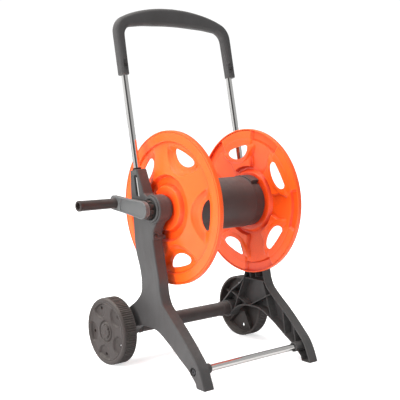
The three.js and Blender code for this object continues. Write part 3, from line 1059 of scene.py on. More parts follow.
FINISHES: dict[str, Finish] = {
    "frame": MouldedPlastic(
        "satin_grey_moulding", "frame_grey", Colour(66, 65, 65), Colour(60, 58, 58), Colour(100, 98, 96),
        roughness=0.46, fineness=1300.0, grain_depth=0.35, wear_and_highlight=0.35, dust=0.1,
    ),
    "frame_shade": MouldedPlastic(
        "drum_grey_moulding", "frame_grey", Colour(70, 63, 62), Colour(63, 56, 55), Colour(98, 90, 88),
        roughness=0.5, fineness=1300.0, grain_depth=0.3, wear_and_highlight=0.3, dust=0.15,
    ),
    # The crank arm's full edge wear and pale rubbed colour paint the highlight on its edges and panel
    # border.
    "panel": MouldedPlastic(
        "crank_arm_moulding", "panel_grey", Colour(86, 87, 87), Colour(80, 80, 80), Colour(168, 167, 164),
        roughness=0.42, fineness=1300.0, grain_depth=0.3, wear_and_highlight=1.0, dust=0.1,
    ),
    # The orange paints a deep red shade into the discs' recesses and scoop walls.
    "orange": MouldedPlastic(
        "orange_gloss_moulding", "reel_orange", Colour(252, 92, 24), Colour(248, 86, 20),
        Colour(255, 124, 60), roughness=0.34, polish=0.08, fineness=700.0, grain_depth=0.1, wear_and_highlight=0.35,
        dust=0.03, coat=0.12, scatter=0.12, painted_recess_shade=0.8,
    ),
    "wheel": MouldedPlastic(
        "wheel_grey_moulding", "wheel_grey", Colour(58, 52, 50), Colour(52, 46, 44), Colour(92, 86, 82),
        roughness=0.56, fineness=1000.0, grain_depth=0.5, wear_and_highlight=0.4, dust=0.22,
    ),
    "black": MouldedPlastic(
        "black_moulding", "black_plastic", Colour(36, 32, 31), Colour(30, 27, 26), Colour(70, 66, 64),
        roughness=0.5, fineness=1100.0, grain_depth=0.35, wear_and_highlight=0.3, dust=0.14,
    ),
    "grip": MouldedPlastic(
        "hand_grip_moulding", "black_plastic", Colour(56, 48, 46), Colour(50, 42, 40), Colour(88, 80, 77),
        roughness=0.36, fineness=1300.0, grain_depth=0.3, wear_and_highlight=0.3, dust=0.08,
    ),
    "tube": PlatedMetal("chromed_tube", "chrome", lean=math.radians(12.5)),
    "bar": PlatedMetal("chromed_bar", "chrome", along_x=True),
    "screw": PlatedMetal(
        "dulled_zinc_steel", "zinc_steel", Colour(104, 104, 106), Colour(72, 72, 74),
        roughness=0.36, spread=0.2, fineness=900.0, line_depth=0.3,
    ),
    "zinc": PlatedMetal(
        "zinc_plated_steel", "zinc_steel", Colour(176, 178, 182), Colour(138, 140, 144),
        roughness=0.28, spread=0.2, fineness=900.0, line_depth=0.3, along_x=True,
    ),
}


@dataclass
class Workshop:
    """Holds the layout and the finishes, and turns shells into dressed pieces."""

    layout: Layout
    effects: Effects
    made: dict[str, bpy.types.Material] = field(default_factory=dict)

    def material(self, key: str) -> bpy.types.Material:
        """The material of a finish, made on first use."""
        if key not in self.made:
            self.made[key] = FINISHES[key].build(self.effects)
        return self.made[key]

    def piece(self, shell: Shell, node: str, body: str, finish: str, flat: bool = False) -> None:
        """Makes a shell into the piece that stands for a CAD node.

        Args:
            shell: its surface.
            node: the CAD node it replaces, which also names it.
            body: the CAD body that it rides on.
            finish: key of its finish.
            flat: whether large flat faces need weighted normals.
        """
        obj = shell.mesh(f"{node}_visual", self.layout)
        if flat:
            weigh_normals(obj)
        self.dress(obj, node, body, finish)

    def dress(self, obj: bpy.types.Object, node: str, body: str, finish: str) -> None:
        """Gives a mesh its material and body, and hides the CAD node it stands for.

        Args:
            obj: the mesh object.
            node: the CAD node it replaces.
            body: the CAD body that it rides on.
            finish: key of its finish.
        """
        obj.data.materials.append(self.material(finish))
        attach(obj, body)
        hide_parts(node)
        log.info("%s: %d faces on %s", obj.name, len(obj.data.polygons), body)

    def pair(self, shell: Shell, stem: str, bodies: tuple[str, str], finish: str) -> None:
        """Makes the left piece and its mirror image.

        Args:
            shell: the left piece's surface.
            stem: the node names without left_ and right_.
            bodies: the left and the right body.
            finish: key of the finish.
        """
        self.piece(shell, f"left_{stem}", bodies[0], finish)
        self.piece(shell.mirrored(), f"right_{stem}", bodies[1], finish)


# ---------------- side frames
@dataclass
class SideFrames:
    """The two moulded side frames with their hub barrels, bosses and ribs."""

    shop: Workshop
    out_x: float = 190.0
    depth: float = 30.0
    wall: float = 3.6
    splay: float = 0.008
    hub_radius: float = 31.5
    hub_bore: float = 25.3
    hub_out: float = 194.0
    hub_in: float = 147.0
    collar_radius: float = 36.2
    boss_radius: float = 24.0
    bar_hole: float = 10.5
    axle_hole: float = 7.0
    rib: float = 3.0
    edge_round: float = 3.4
    tube_block: float = 12.6

    def place(self, y: float, z: float, depth: float) -> Spot:
        """A point of the left frame at that depth below its outer face."""
        return (-self.out_x + depth + self.splay * z, y, z)

    def outline(self) -> list[Flat]:
        """The side outline, counter-clockwise in (Y, Z): foot, arch, boss, post, hub and front leg.

        Returns:
            The outline.
        """
        lay = self.shop.layout
        arch = through([(-168, 12), (-142, 35), (-114, 52), (-61, 85), (-19, 105), (25, 108), (68, 100),
                        (92, 84)])
        boss = arc(lay.wheel_y, lay.wheel_z, self.boss_radius, 212, 410, 26)
        back = through([(97, 146), (62, 172), (47, 192), (45, 214), (50, 242), (71, 298), (80, 368),
                        (90, 428), (93, 491)])
        hub = arc(0, lay.axle_z, 35.5, 52, 246, 28)
        front = through([(-13.5, 368), (-4, 352), (-1.5, 340), (-8, 301), (-25, 235), (-34, 190),
                         (-42, 174), (-60, 157), (-104, 122), (-146, 84), (-180, 48), (-195, 18),
                         (-202, 0)])
        line = [(-202, 0), (-172, 0), *arch, *boss, *back, (66, 497), (37, 438), *hub, *front[:-1]]
        return soften(line, 5.0)

    def slot(self) -> list[Flat]:
        """The long round-ended slot beside the tube, counter-clockwise in (Y, Z)."""
        lay = self.shop.layout
        flat = [*arc(0, 21, 7, 0, 180, 12), *arc(0, -21, 7, 180, 360, 12)]
        c, s = lay.lean_cos, lay.lean_sin
        return [(64.5 + u * c + v * s, 455 - u * s + v * c) for u, v in flat]

    def add_rib(self, shell: Shell, start: Flat, end: Flat) -> None:
        """Adds a straight rib with a rounded crest inside the tray.

        Args:
            shell: the frame's shell.
            start: one end in (Y, Z).
            end: the other end.
        """
        way = (Vector(end) - Vector(start)).normalized()
        across = Vector((-way.y, way.x)) * self.rib / 2
        a, b = Vector(start), Vector(end)
        corners = [a - across, b - across, b + across, a + across]
        line = soften([(p.x, p.y) for p in corners], 0.9, steps=2)
        levels = [(0, self.wall - 0.8), (0.15, self.depth - 3.0), (0.35, self.depth - 2.3),
                  (0.9, self.depth - 2.0)]
        shell.slab(self.place, line, levels)

    def build_frame(self, with_lock: bool) -> Shell:
        """The left frame.

        Args:
            with_lock: whether it has the bosses of the reel lock.

        Returns:
            Its shell.
        """
        lay = self.shop.layout
        shell = Shell()
        w, d = self.wall, self.depth
        levels = [(w + 2.4, w), (w + 0.7, w + 0.6), (w, w + 2.4), (w - 0.2, d - 0.6), (w - 0.8, d),
                  (0.8, d), (0.1, d - 0.6), (0, 5.0), *fillet(self.edge_round, 5)]

        def through_hole(line: Sequence[Flat], lip: float) -> tuple:
            """A hole through the outer wall, with a rounded lip outside."""
            return (line, [(0, w), (0, lip), (0.3 * lip, 0.3 * lip), (lip, 0)])

        holes = [
            through_hole(self.slot(), 1.2),
            through_hole(arc(0, lay.axle_z, 28, 0, 354, 59), 0.4),
            through_hole(arc(lay.bar_y, lay.bar_z, self.bar_hole, 0, 350, 35), 1.0),
            through_hole(arc(lay.wheel_y, lay.wheel_z, self.axle_hole, 0, 345, 23), 0.6),
        ]
        shell.slab(self.place, self.outline(), levels, holes)
        hub_axis = Axis((0, 0, lay.axle_z))
        bore, outer = self.hub_bore, self.hub_radius
        front, back = -self.hub_out, -self.hub_in
        barrel = [(bore, front + 0.4), (bore + 1.2, front), (outer - 1.6, front), (outer, front + 2),
                  (outer, back - 4), (outer - 1, back), (bore, back)]
        shell.turn(hub_axis, soften(barrel, 1.6), 96)
        wide = self.collar_radius
        collar = [(outer - 1, front + 4.5), (wide - 1.2, front + 4.5), (wide, front + 7),
                  (wide, front + 9), (outer - 1, front + 9)]
        shell.turn(hub_axis, soften(collar, 1.2), 96)
        wheel_axis = Axis((0, lay.wheel_y, lay.wheel_z))
        hole = self.axle_hole
        boss = [(hole, -188), (23, -188), (23, -160.5), (22, -159.8), (19.3, -159.8), (19.3, -168),
                (hole, -168)]
        shell.turn(wheel_axis, soften(boss, 0.8), 64)
        bar_axis = Axis((0, lay.bar_y, lay.bar_z))
        hole = self.bar_hole
        cup = [(hole, -187.6), (hole, -184), (3.4, -184), (3.4, -176), (8.5, -176), (8.5, -141.5),
               (9.4, -140), (11.2, -140), (12.2, -141.2), (12.2, -187.6)]
        shell.turn(bar_axis, soften(cup, 0.5), 48)
        for start, end in self.rib_lines():
            self.add_rib(shell, start, end)
        half, far, near = self.tube_block, -TUBE_X - 13, -TUBE_X + 13
        block = soften([(far, -half), (near, -half), (near, half), (far, half)], 2)
        bore = arc(-TUBE_X, 0, 10.7, 0, 348, 29)
        shell.slab(lay.leaned_block, block, [(0, -16), (0, -2.6)], [(bore, [(0, -16), (0, -2.6)])])
        if with_lock:
            self.add_lock_bosses(shell)
        return shell

    def rib_lines(self) -> list[tuple[Flat, Flat]]:
        """The ribs of the tray, as pairs of (Y, Z) points."""
        lay = self.shop.layout
        lines = [
            ((91, 88), (49, 184)), ((42, 111), (101, 136)), ((-35, 184), (51, 184)),
            ((-58, 89), (-24, 184)), ((-57, 156), (28, 110)), ((-109, 58), (-100, 122)),
            ((-149, 32), (-140, 86)),
            ((30, lay.axle_z), (47, lay.axle_z)), ((71, lay.axle_z), (83, lay.axle_z)),
        ]
        for n in (-11.6, 11.6):
            _, y0, z0 = lay.leaned(0, -3, n)
            _, y1, z1 = lay.leaned(0, -314, n)
            lines.append(((y1, z1), (y0, z0)))
        return lines

    def add_lock_bosses(self, shell: Shell) -> None:
        """Adds the lock button's boss and the ring of the lock screw.

        Args:
            shell: the left frame's shell.
        """
        lock_axis = Axis((0, ReelLock.y, ReelLock.z))
        boss = [(4.3, -186), (8.6, -186), (8.6, -158), (8.0, -157.4), (5.2, -157.4), (4.3, -159)]
        shell.turn(lock_axis, soften(boss, 0.5), 40)
        ring = [(6.3, -2), (9.4, -2), (9.4, 1.0), (8.8, 1.8), (7.0, 1.8), (6.3, 1.0)]
        shell.turn(ReelLock.screw_axis(-2.4), soften(ring, 0.4), 40)
        self.add_rib(shell, (1, ReelLock.z), (22, ReelLock.z))

    def build(self) -> None:
        """Builds and dresses both frames."""
        self.shop.piece(self.build_frame(True), "left_side_frame", "cart_frame", "frame", flat=True)
        right = self.build_frame(False).mirrored()
        self.shop.piece(right, "right_side_frame", "cart_frame", "frame", flat=True)


# ---------------- cross members
@dataclass
class CrossMembers:
    """What joins the frames: the rear tube, axle and front bar, with their small fittings."""

    shop: Workshop
    tube_radius: float = 19.0
    tube_end: float = 167.5
    axle_radius: float = 6.0
    bar_radius: float = 8.2
    bar_end: float = 175.0
    gap: float = 0.3

    def screw_head(self, shell: Shell, axis: Axis, profile: list[Flat], lobes: int, deep: float,
                   top: float) -> None:
        """Turns a screw whose crown has a lobed drive recess.

        Args:
            shell: the shell to add to.
            axis: its axis.
            profile: (radius, along) of the body, open at the crown's middle ring.
            lobes: arms of the recess.
            deep: depth of the recess along the axis, with its sign.
            top: distance along the axis of the crown.
        """

        def lobed(radius: float, along: float, angle: float) -> Flat:
            """Shapes the rings of the recess and leaves the others."""
            if radius > 2.4:
                return radius, along
            return radius * (1 + 0.32 * math.cos(lobes * angle)), along

        shell.turn(axis, [*profile, (2.3, top), (2.1, top + deep), (0, top + deep)], 48, False, lobed)

    def build(self) -> None:
        """Builds and dresses every cross member."""
        lay, shop, g = self.shop.layout, self.shop, self.gap
        wheel_axis = Axis((0, lay.wheel_y, lay.wheel_z))
        r, e = self.tube_radius, self.tube_end
        tube = [(r, -e), (r, -e + 24), (r + 1.4, -e + 25), (r + 1.4, -e + 29), (r, -e + 30), (r, e - 30),
                (r + 1.4, e - 29), (r + 1.4, e - 25), (r, e - 24), (r, e), (15.5, e), (15.5, -e)]
        shell = Shell().turn(wheel_axis, soften(tube, 0.6), 72)
        shop.piece(shell, "rear_cross_tube", "cart_frame", "frame_shade")
        a = self.axle_radius
        axle = [(0, -238), (a - 1, -238), (a, -237), (a, 237), (a - 1, 238), (0, 238)]
        shop.piece(Shell().turn(wheel_axis, axle, 40, False), "wheel_axle", "cart_frame", "zinc")
        bar_axis = Axis((0, lay.bar_y, lay.bar_z))
        b, t = self.bar_radius, self.bar_end
        bar = [(b, -t + 0.5), (b, t - 0.5), (b - 0.5, t), (6.6, t), (6.6, -t), (b - 0.5, -t)]
        shop.piece(Shell().turn(bar_axis, bar, 64), "front_bar", "cart_frame", "bar")
        bodies = ("cart_frame", "cart_frame")
        plug = [(6.3, -175), (6.3, -158), (5.6, -157), (2.9, -157), (2.9, -175)]
        shop.pair(Shell().turn(bar_axis, soften(plug, 0.4), 32), "bar_plug", bodies, "black")
        screw = Shell()
        body = [(0, -160), (2.6, -160.4), (2.6, -184.3), (6.4, -184.3), (6.6, -185), (6.5, -186.8),
                (5.4, -188.1), (4, -188.6)]
        self.screw_head(screw, bar_axis, soften(body, 0.3, closed=False), 6, 2.0, -188.6)
        shop.pair(screw, "bar_screw", bodies, "screw")
        hub_axis = Axis((0, 0, lay.axle_z))
        bush = [(25.0, -177), (25.0, -147), (24, -146), (17.6, -146), (17.6, -177)]
        shop.pair(Shell().turn(hub_axis, soften(bush, 0.7), 64), "hub_bush", bodies, "black")
        tube_axis = lay.tube_axis()
        guide = [(8 + g, -22), (10.6, -22), (10.6, 0.3), (11.8, 0.5), (11.8, 1.3), (10.9, 2), (8 + g, 2)]
        shop.pair(Shell().turn(tube_axis, soften(guide, 0.35), 48), "tube_guide", bodies, "black")
        washer = [(6.3, -193), (6.3, -190.4), (13, -190.4), (13, -193)]
        shop.pair(Shell().turn(wheel_axis, soften(washer, 0.5), 48), "wheel_washer", bodies, "zinc")


# ---------------- reel
@dataclass
class ReelDisc:
    """One dished disc of the reel with its scooped figures and openings."""

    layout: Layout
    radius: float = 190.0
    rim_x: float = 134.5
    edge_x: float = 122.0
    hub_x: float = 145.0
    floor_x: float = 133.5
    crown_x: float = 142.5
    web_x: float = 129.5
    wall: float = 3.2
    thin_wall: float = 2.0
    crown_radius: float = 84.0
    groove_radius: float = 160.0
    web_inner: float = 88.0
    web_outer: float = 162.0
    holes: int = 5
    first_hole: float = 93.0
    scoop: float = 11.2
    panel_half: float = 20.0
    arc_steps: int = 84

    def phases(self) -> list[float]:
        """Angle of each opening from the top towards the feet, in radians."""
        step = 360 / self.holes
        return [math.radians(self.first_hole + step * k) for k in range(self.holes)]

    def window(self) -> Window:
        """The D-shaped opening, its chord towards the rim and its round side towards the hub."""
        half, low, high, corner = 38.5, 114.0, 143.5, 8.0
        bowl = [(half * math.cos(a), high - 4 - (high - 4 - low) * math.sin(a))
                for a in (math.pi * k / 24 for k in range(25))]
        across = (-half + 6, -14.0, 0.0, 14.0, half - 6)
        chord = [(u, high + 2.6 * (1 - (u / half) ** 2)) for u in across]
        outline = soften([*bowl, *chord], corner, steps=5, limit=25)
        return Window(tuple(outline), 128.5)

    def slope(self, radius: float) -> float:
        """Height of the plain cone between the crown and the rim's groove."""
        share = (radius - self.crown_radius) / (self.groove_radius - self.crown_radius)
        return self.crown_x + (self.web_x - self.crown_x) * share

    def dish(self, radius: float) -> float:
        """Height of the outer face between the crown and the groove at the rim."""
        slope = self.slope(radius)
        rim = smoothstep(160.8, 163.2, radius)
        return slope + (self.rim_x - slope) * rim

    def hollow(self, radius: float, angle: float) -> float:
        """Depth of a scoop below the dish.

        Args:
            radius: distance from the axle.
            angle: angle from the middle of the opening.

        Returns:
            The depth in millimetres.
        """
        u, v = radius * math.sin(angle), radius * math.cos(angle)
        within = v - (90 + 0.0103 * u * u)
        bank = smoothstep(0.0, 16.0, within) * 0.7 + smoothstep(0.0, 5.0, within) * 0.3
        rise = smoothstep(134.0, 160.0, radius)
        return self.scoop * bank * (1 - rise)

    def outer_level(self, radius: float, angle: float) -> float:
        """Height of the outer face."""
        return -(self.dish(radius) - self.hollow(radius, angle))

    def raised(self, radius: float, angle: float) -> float:
        """Share by which the opening panel stands up from the inner face there."""
        off = abs(math.degrees(angle)) - self.panel_half
        return smoothstep(88.0, 93.0, radius) * (1 - smoothstep(-1.2, 1.2, off))

    def inner_level(self, radius: float, angle: float) -> float:
        """Height of the inner face, whose opening panels stand proud between spoke channels.

        Args:
            radius: distance from the axle.
            angle: angle from the middle of the opening.

        Returns:
            The distance along the axle.
        """
        slope = self.slope(radius) - self.wall
        if radius > self.web_outer:
            slope = self.rim_x - self.wall
        plane = 127.5 - 4.0 * (radius - 96) / 90
        level = slope + (plane - slope) * self.raised(radius, angle)
        if radius <= self.web_outer:
            face = self.dish(min(radius, self.groove_radius)) - self.hollow(radius, angle)
            level = min(level, face - self.thin_wall)
        return -max(level, self.edge_x + 0.3)

    def build(self) -> Shell:
        """The left disc.

        Returns:
            Its shell.
        """
        axis = Axis((0, 0, self.layout.axle_z))
        segments = self.arc_steps * self.holes
        shell = Shell()
        bore, t = 17.6, self.wall
        hub = [(bore, -self.hub_x + 0.6), (bore + 0.6, -self.hub_x), (54, -self.hub_x),
               (59.5, -self.floor_x), (76.5, -self.floor_x), (83, -self.crown_x)]
        outer_hub = [*soften(hub, 1.6, closed=False, steps=6, limit=8),
                     (self.web_inner, self.outer_level(self.web_inner, 0))]
        rim = [(self.web_outer, self.outer_level(self.web_outer, 0)), (164.0, -self.rim_x),
               (184.2, -self.rim_x), (185.0, -self.rim_x + 1.4), (186.6, -self.rim_x + 1.4),
               (187.2, -self.rim_x + 0.3), (self.radius, -self.rim_x + 0.3),
               (self.radius, -self.edge_x), (self.radius - t, -self.edge_x),
               (self.radius - t, -self.rim_x + t), (self.radius - t - 1.5, -self.rim_x + t),
               (175, -self.rim_x + t), (165.5, -self.rim_x + t),
               (self.web_outer, self.inner_level(self.web_outer, 0))]
        inner_hub = [(self.web_inner, self.inner_level(self.web_inner, 0)), (84, -self.crown_x + t),
                     (77, -self.floor_x + t), (58, -self.floor_x + t), (53, -self.hub_x + t),
                     (24, -self.hub_x + t), (24, -128), (bore, -128), (bore, -self.hub_x + 0.6)]
        phase = self.phases()[0] - math.pi / self.holes
        turned = Axis(
            axis.origin, axis.along,
            (0, -math.sin(phase), math.cos(phase)), (0, -math.cos(phase), -math.sin(phase)),
        )
        rim_line = soften(rim, 1.2, closed=False, steps=4, limit=15)
        step = FULL_TURN / self.holes

        def ridged(radius: float, along: float, angle: float) -> Flat:
            """Carries the opening panels out across the inside of the rim."""
            off = angle % step - step / 2
            if radius == self.web_outer and along > self.outer_level(radius, 0) + 1:
                return radius, self.inner_level(radius, off)
            if radius > self.radius - t - 0.8 or along < -self.rim_x + t - 0.3:
                return radius, along
            return radius, max(along, along + (self.inner_level(radius, off) + self.rim_x - t))

        shell.turn(turned, outer_hub, segments, closed=False)
        shell.turn(turned, rim_line, segments, closed=False, shape=ridged)
        shell.turn(turned, soften(inner_hub, 1.6, closed=False, limit=8), segments, closed=False)
        phases = self.phases()
        args = (axis, self.web_inner, self.web_outer, phases, self.window())
        outside = shell.web(*args, self.outer_level, self.arc_steps, rings=34, into=1)
        inside = shell.web(*args, self.inner_level, self.arc_steps, rings=40, into=-1)
        for a, b in zip(outside, inside):
            shell.bridge(a, b)
        return shell


@dataclass
class Reel:
    """The two discs, the drum with its snail end, the shaft and the hose outlet."""

    shop: Workshop
    drum_radius: float = 66.0
    drum_end: float = 130.0
    step_x: float = 100.0
    snail_high: float = 70.0
    snail_low: float = 61.5
    snail_start: float = -38.0
    bore: float = 56.0

    def snail(self) -> list[Flat]:
        """The end section as a ring cut open at the hose slot, in (towards the wheels, up).

        Returns:
            The outline, counter-clockwise.
        """
        z = self.shop.layout.axle_z
        steps, start = 80, math.radians(self.snail_start)
        gap = math.radians(4)
        line: list[Flat] = []
        for k in range(steps + 1):
            a = start + gap + (FULL_TURN - gap) * k / steps
            r = self.snail_high + (self.snail_low - self.snail_high) * k / steps
            line.append((r * math.sin(a), z + r * math.cos(a)))
        for k in range(steps, -1, -1):
            a = start + gap + (FULL_TURN - gap) * k / steps
            line.append((self.bore * math.sin(a), z + self.bore * math.cos(a)))
        return soften(line[::-1], 1.5)

    def build_end_ring(self) -> Shell:
        """The stepped end section of the drum.

        Returns:
            Its shell.
        """
        z = self.shop.layout.axle_z
        axis = Axis((0, 0, z))
        shell = Shell()
        x0, x1 = self.step_x + 0.3, self.drum_end

        def place(y: float, height: float, x: float) -> Spot:
            """A point of the section at that X."""
            return (x, y, height)

        levels = [(1.0, x0 + 5.8), (0.25, x0 + 6.2), (0, x0 + 7), (0, x1 - 1), (0.3, x1 - 0.3),
                  (1.0, x1)]
        shell.slab(place, self.snail(), levels)
        bore = self.bore
        flange = [(bore, x0), (66.4, x0), (67.4, x0 + 1), (67.4, x0 + 5), (66.4, x0 + 6), (bore, x0 + 6)]

        def swell(radius: float, along: float, angle: float) -> Flat:
            """Follows the snail round, so that the step shows where it is high."""
            if radius < 60:
                return radius, along
            turned = (math.degrees(-angle) - self.snail_start) % 360 / 360
            return radius + 2.4 - (self.snail_high - self.snail_low) * turned * 0.8, along

        shell.turn(axis, soften(flange, 0.8), 120, shape=swell)
        shell.turn(axis, [(55, x0 + 1), (59, x0 + 1), (59, x1 - 0.6), (55, x1 - 0.6)], 96)
        spigot = [(56, x0 - 14), (61.2, x0 - 14), (61.7, x0 - 13), (61.7, x0 + 1), (56, x0 + 1)]
        shell.turn(axis, spigot, 96)
        return shell

    def build(self) -> None:
        """Builds and dresses the reel."""
        shop, lay = self.shop, self.shop.layout
        shop.piece(ReelDisc(lay).build(), "left_reel_disc", "reel", "orange")
        right = ReelDisc(lay, first_hole=57.0).build().mirrored()
        shop.piece(right, "right_reel_disc", "reel", "orange")
        axis = Axis((0, 0, lay.axle_z))
        r, e, x = self.drum_radius, self.drum_end, self.step_x
        drum = [(r, -e), (r, x - 3), (r + 0.5, x - 2.4), (r + 0.5, x), (r - 4, x), (r - 4, -e)]
        shop.piece(Shell().turn(axis, soften(drum, 0.4), 128), "drum_core", "reel", "frame_shade")
        shop.piece(self.build_end_ring(), "drum_end_ring", "reel", "frame_shade", flat=True)
        shaft = [(0, -203), (16.3, -203), (17.3, -202), (17.3, 177.5), (13.5, 177.5), (13.5, -197),
                 (0, -197)]
        shop.piece(Shell().turn(axis, shaft, 72, False), "reel_shaft", "reel", "black")
        tilt = math.radians(-self.snail_start) - 0.12
        spout_axis = Axis((117, 0, lay.axle_z), (0, -math.sin(tilt), math.cos(tilt)),
                          (0, math.cos(tilt), math.sin(tilt)), (1, 0, 0))
        spout = [(0, 17.6), (8, 17.6), (8, 38), (10.5, 40), (10.5, 49), (8, 50), (7.2, 52), (8, 53.5),
                 (7.2, 55), (6.4, 57), (3.4, 57), (3.4, 48), (0, 48)]
        shop.piece(Shell().turn(spout_axis, soften(spout, 0.5, closed=False), 40, False), "water_outlet",
                   "reel", "black")


# ---------------- crank
@dataclass
class Crank:
    """The crank arm with its raised border, notched hub, pin and hand grip."""

    shop: Workshop
    reach: float = 110.0
    tilt: float = 4.3
    arm_out: float = 221.0
    arm_in: float = 207.0
    border: float = 3.4
    step: float = 2.6
    nose_radius: float = 21.5
    notches: int = 9
    notch_depth: float = 3.2

    def turned(self, y: float, z: float) -> Flat:
        """Turns a flat (Y, Z) point, measured from the axle, by the arm's tilt."""
        a = math.radians(self.tilt)
        return (y * math.cos(a) - z * math.sin(a), y * math.sin(a) + z * math.cos(a))

    def place(self, y: float, z: float, depth: float) -> Spot:
        """A point of the arm at that depth below its outer face."""
        ty, tz = self.turned(y, z)
        return (-self.arm_out + depth, ty, self.shop.layout.axle_z + tz)

    def outline(self) -> list[Flat]:
        """The arm's outline from the axle, counter-clockwise in (Y, Z).

        Returns:
            The outline.
        """
        nose = arc(0, 0, self.nose_radius, 94, 266, 28)
        lower = through([(4, -21.4), (36, -19.9), (70, -18.6), (104, -18.0), (125, -17.8)], 8)
        tail = [(131, -12.5), (131, 12.5)]
        upper = [(y, -z) for y, z in reversed(lower)]
        return soften([*nose, *lower, *tail, *upper], 4.0, limit=14)

    def panel_outline(self) -> list[Flat]:
        """The sunk panel, with a round front end and a slanted rear end."""
        b = self.border
        nose = arc(0, 0, self.nose_radius - b, 94, 266, 24)
        lower = [(30, -20.2 + b), (60, -18.9 + b), (86, -18.3 + b)]
        upper = [(y, -z) for y, z in reversed(lower)]
        return soften([*nose, *lower, (90, 0), *upper], 3.0, limit=18)

    def build_arm(self) -> Shell:
        """The arm.

        Returns:
            Its shell.
        """
        deep = self.arm_out - self.arm_in
        back = [(2.6, deep), (0.8, deep - 0.4), (0.2, deep - 1.4)]
        edge = [(0, 3.4), *fillet(2.2, 4)]
        pin_hole = (arc(self.reach, 0, 4.3, 0, 345, 23), [(0, deep), (0, 0.5), (0.5, 0)])
        panel = (self.panel_outline(), [(0.9, 0), (0.35, 0.2), (0, 0.7), (-0.3, self.step - 0.3),
                                        (-0.9, self.step)])
        return Shell().slab(self.place, self.outline(), [*back, *edge], [pin_hole], [panel])

    def hub_shape(self, radius: float, along: float, angle: float) -> Flat:
        """Cuts the notches into the front part of the hub's skirt."""
        if radius < 20 or along > -196.9:
            return radius, along
        return radius - self.notch_depth * smoothstep(0.56, 0.66, wave(angle, self.notches)), along

    def build(self) -> None:
        """Builds and dresses the crank."""
        shop, lay = self.shop, self.shop.layout
        shop.piece(self.build_arm(), "crank_arm", "reel", "panel", flat=True)
        axis = Axis((0, 0, lay.axle_z))
        front = -self.arm_in + 0.3
        hub = [(17.6, front), (22.9, front), (23.5, front + 0.7), (23.5, -199), (23.5, -197.4),
               (23.5, -196.8), (23.5, -195), (23.5, -178), (17.6, -178)]
        shop.piece(Shell().turn(axis, hub, 216, shape=self.hub_shape), "crank_hub", "reel", "black")
        y, z = self.turned(self.reach, 0)
        grip_axis = Axis((0, y, lay.axle_z + z))
        pin = [(0, -206.5), (4, -206.5), (4, -311), (6.6, -311), (6.8, -311.6), (6.4, -313.2), (5, -314),
               (0, -314)]
        shop.piece(Shell().turn(grip_axis, pin[::-1], 48, False), "grip_pin", "reel", "zinc")
        out, low = -328.0, -self.arm_out - 0.4
        grip = [(4.3, low), (12.6, low), (13.2, low - 0.8), (13.2, low - 5), (12.3, low - 7.5),
                (12.9, out + 11), (13.0, out + 9), (13.4, out + 7.6), (13.4, out + 2), (12.4, out),
                (9.6, out), (9, out + 0.8), (9, -311), (4.3, -310.7)]
        shop.piece(Shell().turn(grip_axis, soften(grip, 0.7), 96), "crank_grip", "grip", "grip")


